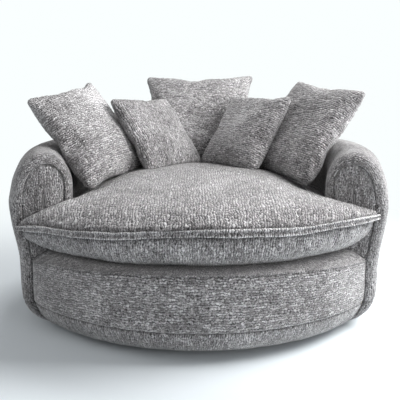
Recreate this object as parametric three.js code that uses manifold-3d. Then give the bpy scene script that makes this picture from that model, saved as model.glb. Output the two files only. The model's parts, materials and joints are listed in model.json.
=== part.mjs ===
// Round cuddle chair: a horseshoe back and arms on a drum base that turns on a low plinth,
// one round seat cushion and five loose cushions.
// Millimetres, +Z up, origin on the floor under the swivel axis, the front facing -Y.

import * as THREE from "three";
import { mergeVertices } from "three/addons/utils/BufferGeometryUtils.js";
import Module from "manifold-3d";

const wasm = await Module();
wasm.setup();

const degree = Math.PI / 180;
const quarterTurn = Math.PI / 2;
const fullTurn = 2 * Math.PI;

// Overall sizes
const overallRadius = 700;
const backHeight = 590;
const seatCrownHeight = 495;
const floorGap = 18;

// Clearances
const gap = 0.3;
const softGap = 0.4;
const cutGap = 0.1;
const rimGap = 0.6;
const padGap = 0.8;
const overrun = 20;
const splitMargin = 0.01;

// Plan of the horseshoe: a half circle behind and two slightly drawn-in arms
const bellyOut = 115;
const wallIn = 105;
const pathRadius = overallRadius - bellyOut;
const armRadius = 1075;
const armSweep = 21.4 * degree;
const backSteps = 20;
const armSteps = 3;

// Section of the horseshoe, measured out from its centreline and up from the floor
const waistOut = 88;
const footIn = 8;
const toeReach = 7;
const footTop = 133;
const waistTop = 200;
const bellyDrop = 50;
const footSteps = 5;
const bellySteps = 3;
const rollSteps = 8;
const lipWidth = 40;

// Upholstery
const coverThick = 3;
const borderRound = 35;
const roundSteps = 4;
const facingThick = 15;
const facingCrown = 8;
const facingCrownShares = [0, 0.65, 1];
const facingCrownInsets = [0, 14, 32];
const crownFadeLow = 300;
const crownFadeHigh = 380;

// Timber
const plyThick = 18;
const hardboardThick = 3.2;
const skinRise = 1.8;
const ringIn = 75;
const frontRingWidth = 85;
const seatRingTop = 246;
const seatRingIn = 110;
const seatRingWidth = 110;
const frameHalf = 45;
const topRailDrop = 72.3;
const railWide = 60;
const railHigh = 35;
const railEndInset = 5;
const postWide = 50;
const postIn = 33;
const postAngles = [22, 67, 113, 158, 240, 300];
const uprightWide = 70;
const uprightDeep = 44;
const uprightAngles = [22, 67, 113, 158];

// Drum front and deck
const cushionOverhang = 15;
const drumRadius = overallRadius - cushionOverhang;
const drumSteps = 18;
const deckTop = 278;
const deckCoverThick = 2;
const deckRimWidth = 85;
const deckPadInset = 2;
const seamDrop = 3;
const seamCornerDrop = 34;
const deckSides = 48;
const deckMiddleShare = 0.55;
const dustCoverThick = 1.2;
const dustCoverBore = 170;

// Webbing
const strapWide = 50;
const strapThick = 1.2;
const strapPitch = 150;
const strapWeave = 0.9;
const strapLap = 40;
const strapsEachWay = 4;
const weaveFlat = 27;

// Plinth and turntable
const glideHeight = 6;
const glideRadius = 20;
const glideInset = 40;
const glideCount = 6;
const glideChamfer = 2;
const glideSides = 16;
const plinthClearance = 30;
const plinthBore = 126;
const raceThick = 4;
const raceOuter = 165;
const ballRadius = 4.5;
const ballCircle = 140;
const ballCount = 14;
const grooveClearance = 0.8;
const cageThick = 1.6;
const cageWidth = 13;
const upperRaceInner = 90;
const sleeveOuter = 113;
const sleeveInner = 110;
const lowerRaceInner = 118;
const hookOuter = 122;
const hookThick = 2.8;
const hookGap = 0.5;
const grooveShoulderShare = 0.75;
const accessHole = 7;
const lowerScrewCircle = 156;
const upperScrewCircle = 100;
const screwHeadRadius = 4.5;
const screwHeadHeight = 2.5;
const screwCrownShare = 0.7;
const screwRadius = 2.2;
const screwLength = 16;
const screwTip = 4;
const screwsPerRace = 4;
const raceSides = 3 * ballCount;
const plinthSides = 48;
const screwSides = 8;
const ballSides = 8;
const ballRings = 5;

// Seat cushion: top, knife-edge flange and full underside
const flangeHeight = 403;
const flangeDeep = 24;
const leftEarDrop = 50;
const rightEarDrop = 10;
const earReach = 30;
const earPinchShare = 0.47;
const earTuckShare = 2.2;
const sideReach = 620;
const backReach = 500;
const seatSides = 48;
const seatTopShares = [0.24, 0.44, 0.6, 0.73, 0.84, 0.92, 0.97, 0.995];
const flangeShares = [[1, 0.3], [0.998, 0.85], [0.976, 1]];
const undersideShares = [[0.986, 0.7], [0.968, 0.4], [0.93, 0.14], [0.87, 0]];

// Loose cushions: shares of a large or a small one's size, set in from the inner wall and raised
// above the seat's crown, and how each one leans
const cushionDraw = 0.07;
const cushionSteps = 10;
const cushionLift = 400;
const largeCushion = 440;
const smallCushion = 355;
const frontCrownShare = 1.2;
const looseCushions = [
  { name: "back_cushion_centre", size: largeCushion, widthShare: 1.118, heightShare: 1.1,
    crownShare: 0.146, setInShare: 0.073, riseShare: 0.357, bearing: 89.4,
    yaw: -1, lean: 39, roll: 1, behind: [] },
  { name: "back_cushion_left", size: largeCushion, widthShare: 1, heightShare: 0.955,
    crownShare: 0.141, setInShare: 0.136, riseShare: 0.291, bearing: 177.7,
    yaw: 64, lean: 38, roll: 5, behind: ["back_cushion_centre"] },
  { name: "back_cushion_right", size: largeCushion, widthShare: 1.005, heightShare: 0.98,
    crownShare: 0.141, setInShare: 0.142, riseShare: 0.305, bearing: 12.2,
    yaw: -62, lean: 36, roll: -2, behind: ["back_cushion_centre"] },
  { name: "small_cushion_right", size: smallCushion, widthShare: 1.006, heightShare: 0.992,
    crownShare: 0.147, setInShare: 0.597, riseShare: 0.321, bearing: 46.7,
    yaw: -55, lean: 33, roll: 0, behind: ["back_cushion_centre", "back_cushion_right"] },
  { name: "small_cushion_left", size: smallCushion, widthShare: 0.997, heightShare: 0.98,
    crownShare: 0.147, setInShare: 0.619, riseShare: 0.307, bearing: 130.5,
    yaw: 55, lean: 36, roll: -1,
    behind: ["back_cushion_centre", "back_cushion_left", "small_cushion_right"] },
];

// Levels that follow from the sizes above
const footRise = footTop - floorGap;
const ringBottom = floorGap + coverThick + gap;
const ringTop = ringBottom + plyThick;
const railBottom = ringTop + gap;
const plinthTop = glideHeight + plyThick;
const lowerRaceBottom = plinthTop + gap;
const lowerRaceTop = lowerRaceBottom + raceThick;
const upperRaceTop = ringTop;
const upperRaceBottom = upperRaceTop - raceThick;
const ballHeight = (lowerRaceTop + upperRaceBottom) / 2;
const rollRadius = (bellyOut + wallIn) / 2;
const rollOut = (bellyOut - wallIn) / 2;
const rollHeight = backHeight - rollRadius;
const topRailTop = backHeight - topRailDrop;
const bellyHeight = rollHeight - bellyDrop;
const ringOut = footIn - gap;
const plinthRadius = pathRadius - ringIn - plinthClearance;
const glideCircle = plinthRadius - glideInset;
const footRadius = drumRadius - (waistOut - footIn);
const toeRadius = footRadius + toeReach;
const frontSkinOuter = footRadius + gap + hardboardThick;
const frontPaddingInner = frontSkinOuter + gap;
const innerFoot = seatRingTop + 2 * coverThick;
const webbingTop = seatRingTop + gap + strapThick + 2 * strapWeave;
const deckPadBottom = webbingTop + gap;
const deckPadTop = deckTop - deckCoverThick - gap;
const seatBottom = deckTop + softGap;
const boardSetBack = facingThick + gap;

// Materials
const fabric = { color: 0x9d9b98, roughness: 0.95, metalness: 0 };
const cushionFabric = { color: 0xa8a6a3, roughness: 0.95, metalness: 0 };
const foam = { color: 0xe9e1c6, roughness: 0.9, metalness: 0 };
const ply = { color: 0xc9a671, roughness: 0.7, metalness: 0 };
const board = { color: 0x8a6b4a, roughness: 0.8, metalness: 0 };
const strapping = { color: 0x4b443c, roughness: 0.9, metalness: 0 };
const lining = { color: 0x26262a, roughness: 0.95, metalness: 0 };
const steel = { color: 0x9aa0a6, roughness: 0.35, metalness: 0.9 };
const plastic = { color: 0x1d1d1f, roughness: 0.5, metalness: 0 };

const chair = new THREE.Group();

// Values from start to end in equal steps, both ends included
function spread(start, end, count) {
  return Array.from({ length: count + 1 }, (_, i) => start + ((end - start) * i) / count);
}

function signedVolume(positions, index) {
  const [a, b, c] = [new THREE.Vector3(), new THREE.Vector3(), new THREE.Vector3()];
  let volume = 0;
  for (let i = 0; i < index.length; i += 3) {
    a.fromArray(positions, 3 * index[i]);
    b.fromArray(positions, 3 * index[i + 1]);
    c.fromArray(positions, 3 * index[i + 2]);
    volume += a.dot(b.cross(c));
  }
  return volume;
}

// A closed geometry from points and triangles, turned so that its faces point out
function closedGeometry(points, index) {
  const positions = points.flatMap((point) => [point.x, point.y, point.z]);
  if (signedVolume(positions, index) < 0) index.reverse();
  const geometry = new THREE.BufferGeometry();
  geometry.setAttribute("position", new THREE.Float32BufferAttribute(positions, 3));
  geometry.setIndex(index);
  return geometry;
}

// A solid through a row of like rings, its ends closed by triangles in the rings' own order.
// Each four-sided face is split along its shorter diagonal, so sheets over each other split alike.
function loft(rings, cap) {
  const points = rings.flat();
  const count = rings[0].length;
  const last = (rings.length - 1) * count;
  const index = [];
  for (let start = 0; start < last; start += count) {
    for (let j = 0; j < count; j++) {
      const [a, b] = [start + j, start + ((j + 1) % count)];
      const [c, d] = [b + count, a + count];
      const across = points[b].distanceTo(points[d]) < points[a].distanceTo(points[c]) - splitMargin;
      index.push(...(across ? [a, b, d, b, c, d] : [a, b, c, a, c, d]));
    }
  }
  for (const [a, b, c] of cap) index.push(a, c, b, last + a, last + b, last + c);
  return closedGeometry(points, index);
}

// Cap over a flat outline
function polygonCap(outline) {
  const contour = outline.map(([across, up]) => new THREE.Vector2(across, up));
  const triangles = THREE.ShapeUtils.triangulateShape(contour, []);
  return THREE.ShapeUtils.isClockWise(contour) ? triangles.map(([a, b, c]) => [a, c, b]) : triangles;
}

// Cap over a ring that runs out along one face of a sheet and back along the other
function stripCap(count) {
  const triangles = [];
  for (let j = 0; j + 1 < count / 2; j++) {
    const far = count - 1 - j;
    triangles.push([j, j + 1, far - 1], [j, far - 1, far]);
  }
  return triangles;
}

// A sheet between two grids of points
function sheet(outer, inner) {
  const rings = outer.map((row, i) => [...row, ...inner[i].toReversed()]);
  return loft(rings, stripCap(rings[0].length));
}

// A flat board: an outline with holes, from one level up to another
function slab(outline, holes, low, high) {
  const corner = ([x, y]) => new THREE.Vector2(x, y);
  const shape = new THREE.Shape(outline.map(corner));
  shape.holes = holes.map((hole) => new THREE.Path(hole.map(corner)));
  const geometry = new THREE.ExtrudeGeometry(shape, { depth: high - low, bevelEnabled: false });
  return geometry.translate(0, 0, low);
}

function box(x0, x1, y0, y1, z0, z1) {
  const geometry = new THREE.BoxGeometry(x1 - x0, y1 - y0, z1 - z0);
  return geometry.translate((x0 + x1) / 2, (y0 + y1) / 2, (z0 + z1) / 2);
}

// A turned solid from a closed profile of [radius, height]
function turned(profile, sides) {
  const closed = [...profile, profile[0]].map(([r, z]) => new THREE.Vector2(r, z));
  return new THREE.LatheGeometry(closed, sides).rotateX(quarterTurn);
}

function circle(radius, sides) {
  return spread(0, fullTurn, sides).slice(1).map((a) => [radius * Math.cos(a), radius * Math.sin(a)]);
}

function toSolid(geometry) {
  const bare = geometry.clone();
  bare.deleteAttribute("normal");
  bare.deleteAttribute("uv");
  const merged = mergeVertices(bare);
  return new wasm.Manifold(new wasm.Mesh({
    numProp: 3,
    vertProperties: new Float32Array(merged.attributes.position.array),
    triVerts: new Uint32Array(merged.index.array),
  }));
}

function fromSolid(solid) {
  const mesh = solid.getMesh();
  const geometry = new THREE.BufferGeometry();
  geometry.setAttribute("position", new THREE.BufferAttribute(mesh.vertProperties, 3));
  geometry.setIndex(new THREE.BufferAttribute(mesh.triVerts, 1));
  return geometry;
}

function cut(geometry, ...tools) {
  return fromSolid(tools.reduce((solid, tool) => solid.subtract(toSolid(tool)), toSolid(geometry)));
}

function join(geometry, ...others) {
  return fromSolid(others.reduce((solid, other) => solid.add(toSolid(other)), toSolid(geometry)));
}

function addMesh(name, geometry, material, x = 0, y = 0, z = 0) {
  const mesh = new THREE.Mesh(geometry, new THREE.MeshStandardMaterial(material));
  mesh.name = name;
  mesh.position.set(x, y, z);
  chair.add(mesh);
  return mesh;
}

// Point on the horseshoe. Turn 0 to half a turn runs round the back, beyond that lies an arm;
// out is measured from the centreline, forward along the path to the nearer arm face.
function planPoint(turn, out, forward = 0) {
  const side = turn > quarterTurn ? -1 : 1;
  const angle = side > 0 ? turn : Math.PI - turn;
  const radius = (angle < 0 ? armRadius : pathRadius) + out;
  const centre = angle < 0 ? pathRadius - armRadius : 0;
  return [
    side * (centre + radius * Math.cos(angle) + forward * Math.sin(angle)),
    radius * Math.sin(angle) - forward * Math.cos(angle),
  ];
}

const rightEnd = -armSweep;
const leftEnd = Math.PI + armSweep;
const bodyTurns = [
  ...spread(rightEnd, 0, armSteps).slice(1),
  ...spread(0, Math.PI, backSteps).slice(1),
  ...spread(Math.PI, leftEnd, armSteps).slice(1, -1),
];

// Distance of an arm face's plane from the origin
const [faceX, faceY] = planPoint(rightEnd, 0);
const faceDistance = -faceX * Math.sin(armSweep) - faceY * Math.cos(armSweep);

// Bearing on the drum's front: share -1 is the left arm face, 0 the middle, 1 the right arm face
function frontBearing(radius, share, clearance) {
  const face = -armSweep - Math.asin((faceDistance + clearance) / radius);
  return -quarterTurn + share * (face + quarterTurn);
}

function polar(radius, bearing, height) {
  return new THREE.Vector3(radius * Math.cos(bearing), radius * Math.sin(bearing), height);
}

// Section of the horseshoe under its fabric's face: foot, waist, belly, roll and inner wall.
// The inset draws in the sides and the top, as the rounded border of an arm face does.
function wrapOutline(skin, inset) {
  const foot = spread(0, quarterTurn, footSteps).map((turn) => [
    footIn + (waistOut - footIn - skin - inset) * Math.sin(turn),
    footTop - (footRise - skin) * Math.cos(turn),
    1 - Math.sin(turn),
  ]);
  const belly = spread(0, 1, bellySteps).map((share) => [
    waistOut - skin - inset + ((bellyOut - waistOut) * (1 - Math.cos(Math.PI * share))) / 2,
    waistTop + (bellyHeight - waistTop) * share,
  ]);
  const roll = spread(0, Math.PI, rollSteps).map((turn) => [
    rollOut + (rollRadius - skin - inset) * Math.cos(turn),
    rollHeight + (rollRadius - skin - inset) * Math.sin(turn),
  ]);
  return [...foot, ...belly, ...roll, [-wallIn + skin + inset, innerFoot]];
}

// How far the foot is drawn in under an arm's front, where it would leave the drum's round foot
function toeTuck(turn, forward) {
  return Math.max(0, Math.hypot(...planPoint(turn, footIn, forward)) - toeRadius);
}

// Place of an outline's point, which may have a share of the tuck
function sectionPoint([out, up, tuckShare = 0], turn, forward) {
  const place = planPoint(turn, out - toeTuck(turn, forward) * tuckShare, forward);
  return new THREE.Vector3(...place, up);
}

function sectionRing(outline, turn, forward) {
  return outline.map((point) => sectionPoint(point, turn, forward));
}

// Rings along the whole horseshoe at one depth under the fabric, bent in at both arm faces
function wrapRings(skin, outline) {
  const radius = borderRound - skin;
  const bends = spread(quarterTurn, 0, roundSteps);
  const bent = (turn) => (bend) => sectionRing(
    outline(skin, radius * (1 - Math.cos(bend))), turn, radius * Math.sin(bend) - borderRound);
  return [
    ...bends.map(bent(rightEnd)),
    ...bodyTurns.map((turn) => sectionRing(outline(skin, 0), turn, 0)),
    ...bends.toReversed().map(bent(leftEnd)),
  ];
}

// A bar of oblong section along the horseshoe, ending that far forward of the arm faces
function channel(outLow, outHigh, low, high, forward) {
  const section = [[outLow, low], [outHigh, low], [outHigh, high], [outLow, high]];
  const rings = [
    sectionRing(section, rightEnd, forward),
    ...bodyTurns.map((turn) => sectionRing(section, turn, 0)),
    sectionRing(section, leftEnd, forward),
  ];
  return loft(rings, polygonCap(section));
}

// Closed plan line: along the horseshoe at one offset, then round the drum's front
function planLoop(out, frontRadius, tucked = false) {
  return [
    ...[rightEnd, ...bodyTurns, leftEnd].map((turn) =>
      planPoint(turn, out - (tucked ? toeTuck(turn, 0) : 0))),
    ...spread(-1, 1, drumSteps).map((share) => {
      const bearing = frontBearing(frontRadius, share, 0);
      return [frontRadius * Math.cos(bearing), frontRadius * Math.sin(bearing)];
    }),
  ];
}

// Full outline of an arm's front inside its border, standing on the bottom ring
function armOutline(inset) {
  const low = ringTop + gap;
  const skin = coverThick + gap;
  const arch = wrapOutline(skin, inset - skin);
  const first = arch.findIndex(([, up]) => up > low);
  const [below, above] = arch.slice(first - 1, first + 1);
  const rise = (low - below[1]) / (above[1] - below[1]);
  const foot = below.map((value, i) => value + (above[i] - value) * rise);
  return [foot, ...arch.slice(first), [-wallIn + inset, low]];
}

function armPrism(turn, inset, back, front) {
  const outline = armOutline(inset);
  return loft([back, front].map((forward) => sectionRing(outline, turn, forward)), polygonCap(outline));
}

// Horseshoe back and arms: cover, padding, facings, boards and rail
function addHorseshoe() {
  const faced = (skin, inset) => [[footIn - lipWidth, floorGap + skin, 1], ...wrapOutline(skin, inset)];
  addMesh("wrap_cover", sheet(wrapRings(0, faced), wrapRings(coverThick, faced)), fabric);

  const padSkin = coverThick + padGap;
  const padOutline = (skin, inset) => [...wrapOutline(skin, inset), [footIn, innerFoot]];
  const padding = loft(
    wrapRings(padSkin, padOutline), polygonCap(padOutline(padSkin, borderRound - padSkin)));
  const boardBack = boardSetBack + plyThick;
  const frameChannel = channel(
    -frameHalf, frameHalf, seatRingTop - plyThick - gap, topRailTop + gap, -boardBack);
  addMesh("wrap_padding", cut(padding, frameChannel, ...armPockets()), foam);

  const railHalf = frameHalf - gap;
  addMesh("top_rail",
    channel(-railHalf, railHalf, topRailTop - plyThick, topRailTop, -boardBack - gap), ply);

  for (const [side, turn] of [["right", rightEnd], ["left", leftEnd]]) {
    addMesh(`arm_board_${side}`,
      armPrism(turn, borderRound + coverThick + gap + cutGap, -boardBack, -boardSetBack), ply);
    addMesh(`arm_facing_${side}`, armFacing(turn), fabric);
  }
}

// Room for an arm's board and facing in whatever they are let into
function armPockets() {
  const back = boardSetBack + plyThick + gap;
  return [rightEnd, leftEnd].map((turn) => armPrism(turn, borderRound + cutGap, -back, gap));
}

// Padded panel with a flat back, crowned above the deck and flat where the drum butts against it
function armFacing(turn) {
  const edge = borderRound + gap + cutGap;
  const fade = (up) => THREE.MathUtils.smoothstep(up, crownFadeLow, crownFadeHigh);
  const rings = facingCrownInsets.map((inset, i) => armOutline(edge + inset).map((point) =>
    sectionPoint(point, turn, facingCrown * facingCrownShares[i] * fade(point[1]))));
  const back = sectionRing(armOutline(edge), turn, -facingThick);
  const panel = loft([back, ...rings], polygonCap(armOutline(edge + facingCrownInsets.at(-1))));
  const low = [[-wallIn, floorGap], [bellyOut, floorGap], [bellyOut, crownFadeLow], [-wallIn, crownFadeLow]];
  const drumSide = loft([0, overrun].map((forward) => sectionRing(low, turn, forward)), polygonCap(low));
  return cut(panel, drumSide);
}

// Plywood base: two rings, two half-lapped rails, posts and uprights
function addBase() {
  addMesh("bottom_ring", slab(planLoop(ringOut, footRadius, true),
    [planLoop(-ringIn, footRadius - frontRingWidth)], ringBottom, ringTop), ply);

  const seatRing = slab(planLoop(frameHalf - gap, footRadius),
    [planLoop(-seatRingIn, footRadius - seatRingWidth)], seatRingTop - plyThick, seatRingTop);
  addMesh("seat_ring", cut(seatRing, ...armPockets()), ply);

  const reach = pathRadius + ringOut - railEndInset;
  const frontReach = footRadius - railEndInset;
  const half = railWide / 2;
  const railTop = railBottom + railHigh;
  const lap = (railBottom + railTop) / 2;
  const bores = screwPlaces(upperScrewCircle, 0).map(([x, y]) =>
    screwBore().translate(x, y, upperRaceBottom));
  const crossRail = box(-reach, reach, -half, half, railBottom, railTop);
  const lapTop = box(-half - gap, half + gap, -railWide, railWide, lap - gap / 2, railTop + overrun);
  addMesh("rail_across", cut(crossRail, lapTop, ...bores), ply);
  const longRail = box(-half, half, -frontReach, reach, railBottom, railTop);
  const lapFoot = box(-railWide, railWide, -half - gap, half + gap, railBottom - overrun, lap + gap / 2);
  addMesh("rail_front_to_back", cut(longRail, lapFoot, ...bores), ply);

  const postHigh = seatRingTop - plyThick - gap - railBottom;
  postAngles.forEach((angle, i) => {
    const bearing = angle * degree;
    const radius = Math.sin(bearing) < 0 ? footRadius - frontRingWidth / 2 : pathRadius - postIn;
    const post = new THREE.BoxGeometry(postWide, postWide, postHigh);
    const place = polar(radius, bearing, railBottom + postHigh / 2);
    addMesh(`base_post_${i + 1}`, post, ply, ...place).rotation.z = bearing;
  });

  const uprightLow = seatRingTop + gap;
  const uprightHigh = topRailTop - plyThick - gap - uprightLow;
  uprightAngles.forEach((angle, i) => {
    const upright = new THREE.BoxGeometry(uprightDeep, uprightWide, uprightHigh);
    const place = polar(pathRadius, angle * degree, uprightLow + uprightHigh / 2);
    addMesh(`back_upright_${i + 1}`, upright, ply, ...place).rotation.z = angle * degree;
  });
}

// Height of the deck, which falls to the drum's front seam and more at its corners
function deckHeight(radius, bearing) {
  const share = (bearing + quarterTurn) / (frontBearing(drumRadius, 1, gap) + quarterTurn);
  const rim = THREE.MathUtils.clamp((radius - drumRadius + deckRimWidth) / deckRimWidth, 0, 1);
  const fall = rim < 0.5 ? rim / 2 : (3 * rim - 1) / 2;
  return deckTop - (seamDrop + seamCornerDrop * Math.min(share * share, 1)) * fall;
}

// Level just under the deck's cover at a radius and a share of the drum's front
function deckUnderside(radius, share) {
  return deckHeight(radius, frontBearing(radius, share, gap)) - deckCoverThick - rimGap;
}

// Section of the drum's front under its fabric's face, foot to seam
function frontOutline(skin, share) {
  const foot = spread(0, quarterTurn, footSteps).map((turn) => [
    footRadius + (drumRadius - footRadius - skin) * Math.sin(turn),
    footTop - (footRise - skin) * Math.cos(turn),
  ]);
  return [...foot, [drumRadius - skin, deckUnderside(drumRadius, share)]];
}

function frontRings(outline) {
  return spread(-1, 1, drumSteps).map((share) => outline(share).map(([radius, up]) =>
    polar(radius, frontBearing(radius, share, gap), up)));
}

// Curved front of the drum: hardboard skin, padding and cover
function addDrumFront() {
  const skinLow = ringBottom + skinRise;
  const skin = frontRings(() => [
    [footRadius + gap, skinLow], [frontSkinOuter, skinLow],
    [frontSkinOuter, seatRingTop - gap], [footRadius + gap, seatRingTop - gap],
  ]);
  addMesh("front_skin", loft(skin, polygonCap([[0, 0], [1, 0], [1, 1], [0, 1]])), board);

  const padOutline = (share) => {
    const edge = frontOutline(coverThick + gap, share).slice(1);
    const middle = drumRadius - deckRimWidth / 2;
    return [[frontPaddingInner, skinLow], ...edge,
      [middle, deckUnderside(middle, share)],
      [frontPaddingInner, deckUnderside(frontPaddingInner, share)]];
  };
  addMesh("front_padding", loft(frontRings(padOutline), polygonCap(padOutline(1))), foam);

  const faced = (skinDepth) => (share) =>
    [[footRadius - lipWidth, floorGap + skinDepth], ...frontOutline(skinDepth, share)];
  addMesh("front_cover", sheet(frontRings(faced(0)), frontRings(faced(coverThick))), fabric);
}

// Bearings round a deck piece and its reach at each, up to the front radius or into the wall
function deckColumns(frontRadius) {
  const front = spread(-1, 1, drumSteps).map((share) => frontBearing(frontRadius, share, gap));
  const behind = spread(front.at(-1), front[0] + fullTurn, deckSides - drumSteps).slice(1, -1);
  return [
    ...front.map((bearing) => ({ bearing, reach: frontRadius })),
    ...behind.map((bearing) => ({ bearing, reach: pathRadius })),
  ];
}

function deckSolid(frontRadius, top, bottom) {
  const columns = deckColumns(frontRadius);
  const ring = (share, height) => columns.map(({ bearing, reach }) =>
    polar(share * reach, bearing, height(share * reach, bearing)));
  const rimShare = deckRimWidth / drumRadius;
  const shares = [deckMiddleShare, 1 - rimShare, 1 - rimShare / 2, 1];
  const rings = [
    ...shares.map((share) => ring(share, top)),
    ...shares.toReversed().map((share) => ring(share, bottom)),
  ];
  const cap = polygonCap(columns.map(({ bearing }) => [Math.cos(bearing), Math.sin(bearing)]));
  const wall = channel(-wallIn - gap, overallRadius, footTop, backHeight, gap);
  return cut(loft(rings, cap), wall);
}

function addDeck() {
  const padRadius = drumRadius - deckRimWidth - deckPadInset;
  addMesh("deck_pad", deckSolid(padRadius, () => deckPadTop, () => deckPadBottom), foam);
  addMesh("deck_cover",
    deckSolid(drumRadius, deckHeight, (...place) => deckHeight(...place) - deckCoverThick), fabric);
  const dustTop = railBottom - gap;
  addMesh("dust_cover", slab(planLoop(-ringIn - gap, footRadius - frontRingWidth - gap),
    [circle(dustCoverBore, raceSides)], dustTop - dustCoverThick, dustTop), lining);
}

// Distance from the middle to the seat ring's inner edge, along x or along y, at a side offset
function openingReach(along, offset, sign) {
  const back = pathRadius - seatRingIn;
  if (along === "y") {
    const radius = sign < 0 ? footRadius - seatRingWidth : back;
    return Math.sqrt(radius * radius - offset * offset);
  }
  const arm = armRadius - seatRingIn;
  return offset < 0
    ? pathRadius - armRadius + Math.sqrt(arm * arm - offset * offset)
    : Math.sqrt(back * back - offset * offset);
}

// Elastic straps woven over and under each other, their ends lapped on the seat ring
function addWebbing() {
  const low = seatRingTop + gap + strapThick / 2;
  const offsets = spread(-1, 1, strapsEachWay - 1).map((share) =>
    (share * strapPitch * (strapsEachWay - 1)) / 2);
  for (const along of ["x", "y"]) {
    offsets.forEach((offset, i) => {
      const near = -openingReach(along, offset, -1);
      const far = openingReach(along, offset, 1);
      const crossings = offsets.flatMap((place, j) => {
        const raised = (i + j + (along === "x" ? 1 : 0)) % 2;
        const height = low + 2 * strapWeave * raised;
        return [[place - weaveFlat, height], [place + weaveFlat, height]];
      });
      const line = [[near - strapLap, low], [near, low], ...crossings, [far, low], [far + strapLap, low]];
      addMesh(`webbing_${along}_${i + 1}`, strap(line, offset, along), strapping);
    });
  }
}

function strap(line, offset, along) {
  const edges = [offset - strapWide / 2, offset + strapWide / 2];
  const point = (run, side, up) =>
    along === "x" ? new THREE.Vector3(run, side, up) : new THREE.Vector3(side, run, up);
  const rings = line.map(([run, up]) => [
    point(run, edges[0], up - strapThick / 2), point(run, edges[1], up - strapThick / 2),
    point(run, edges[1], up + strapThick / 2), point(run, edges[0], up + strapThick / 2),
  ]);
  return loft(rings, stripCap(4));
}

function screwPlaces(radius, start) {
  return spread(0, fullTurn, screwsPerRace).slice(1).map((turn) => [
    radius * Math.cos(turn + start), radius * Math.sin(turn + start)]);
}

// Pan-head screw standing on its head's underside, its shank down
function screw() {
  const profile = [
    [0, -screwLength], [screwRadius, screwTip - screwLength], [screwRadius, 0],
    [screwHeadRadius, 0], [screwHeadRadius * screwCrownShare, screwHeadHeight], [0, screwHeadHeight],
  ];
  return new THREE.LatheGeometry(profile.map(([r, z]) => new THREE.Vector2(r, z)), screwSides)
    .rotateX(quarterTurn);
}

// Bore for a shank that points up, centred on its axis
function screwBore() {
  const length = 2 * (screwLength + gap);
  return new THREE.CylinderGeometry(screwRadius + gap, screwRadius + gap, length, screwSides)
    .rotateX(quarterTurn);
}

// Groove of a race as points across it, rising or falling from the race's face
function groove(face, sign) {
  const radius = ballRadius + grooveClearance;
  const depth = radius - Math.abs(face - ballHeight);
  const half = Math.sqrt(radius * radius - (face - ballHeight) ** 2);
  return [
    [ballCircle - half, face], [ballCircle - half / 2, face + sign * depth * grooveShoulderShare],
    [ballCircle, face + sign * depth],
    [ballCircle + half / 2, face + sign * depth * grooveShoulderShare], [ballCircle + half, face],
  ];
}

// Turntable: two grooved races held together by a hooked sleeve, with caged balls between
function addTurntable() {
  const lowerPlaces = screwPlaces(lowerScrewCircle, quarterTurn / 2);
  const upperPlaces = screwPlaces(upperScrewCircle, 0);

  const plinth = slab(circle(plinthRadius, plinthSides), [circle(plinthBore, raceSides)],
    glideHeight, plinthTop);
  const lowerHeads = lowerRaceTop + gap;
  const plinthBores = lowerPlaces.map(([x, y]) => screwBore().translate(x, y, lowerHeads));
  addMesh("plinth_disc", cut(plinth, ...plinthBores), ply);

  const lowerRace = turned([
    [lowerRaceInner, lowerRaceBottom], [raceOuter, lowerRaceBottom], [raceOuter, lowerRaceTop],
    ...groove(lowerRaceTop, -1).reverse(), [lowerRaceInner, lowerRaceTop],
  ], raceSides);
  addMesh("bearing_lower_race", cut(lowerRace, ...plinthBores), steel);

  const hookTop = lowerRaceBottom - hookGap;
  const upperRace = turned([
    [upperRaceInner, upperRaceBottom], [sleeveInner, upperRaceBottom],
    [sleeveInner, hookTop - hookThick], [hookOuter, hookTop - hookThick], [hookOuter, hookTop],
    [sleeveOuter, hookTop], [sleeveOuter, upperRaceBottom],
    ...groove(upperRaceBottom, 1), [raceOuter, upperRaceBottom], [raceOuter, upperRaceTop],
    [upperRaceInner, upperRaceTop],
  ], raceSides);
  const access = new THREE.CylinderGeometry(accessHole, accessHole, overrun, screwSides)
    .rotateX(quarterTurn).translate(...lowerPlaces[0], upperRaceTop);
  const raceBores = upperPlaces.map(([x, y]) => screwBore().translate(x, y, upperRaceBottom));
  addMesh("bearing_upper_race", cut(upperRace, access, ...raceBores), steel);

  const cage = turned([
    [ballCircle - cageWidth / 2, ballHeight - cageThick / 2],
    [ballCircle + cageWidth / 2, ballHeight - cageThick / 2],
    [ballCircle + cageWidth / 2, ballHeight + cageThick / 2],
    [ballCircle - cageWidth / 2, ballHeight + cageThick / 2],
  ], raceSides);
  const balls = spread(0, fullTurn, ballCount).slice(1).map((turn) =>
    new THREE.SphereGeometry(ballRadius, ballSides, ballRings).rotateX(quarterTurn)
      .translate(...polar(ballCircle, turn, ballHeight)));
  addMesh("bearing_ball_cage", join(cage, ...balls), steel);

  lowerPlaces.forEach(([x, y], i) => addMesh(`lower_screw_${i + 1}`, screw(), steel, x, y, lowerHeads));
  upperPlaces.forEach(([x, y], i) => {
    addMesh(`upper_screw_${i + 1}`, screw(), steel, x, y, upperRaceBottom - gap).rotation.x = Math.PI;
  });
}

function addGlides() {
  spread(0, fullTurn, glideCount).slice(1).forEach((turn, i) => {
    const top = glideHeight - gap;
    const glide = new THREE.LatheGeometry([
      new THREE.Vector2(0, 0), new THREE.Vector2(glideRadius - glideChamfer, 0),
      new THREE.Vector2(glideRadius, glideChamfer), new THREE.Vector2(glideRadius, top),
      new THREE.Vector2(0, top),
    ], glideSides).rotateX(quarterTurn);
    const place = polar(glideCircle, turn, 0);
    addMesh(`glide_${i + 1}`, glide, plastic, ...place);
  });
}

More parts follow.
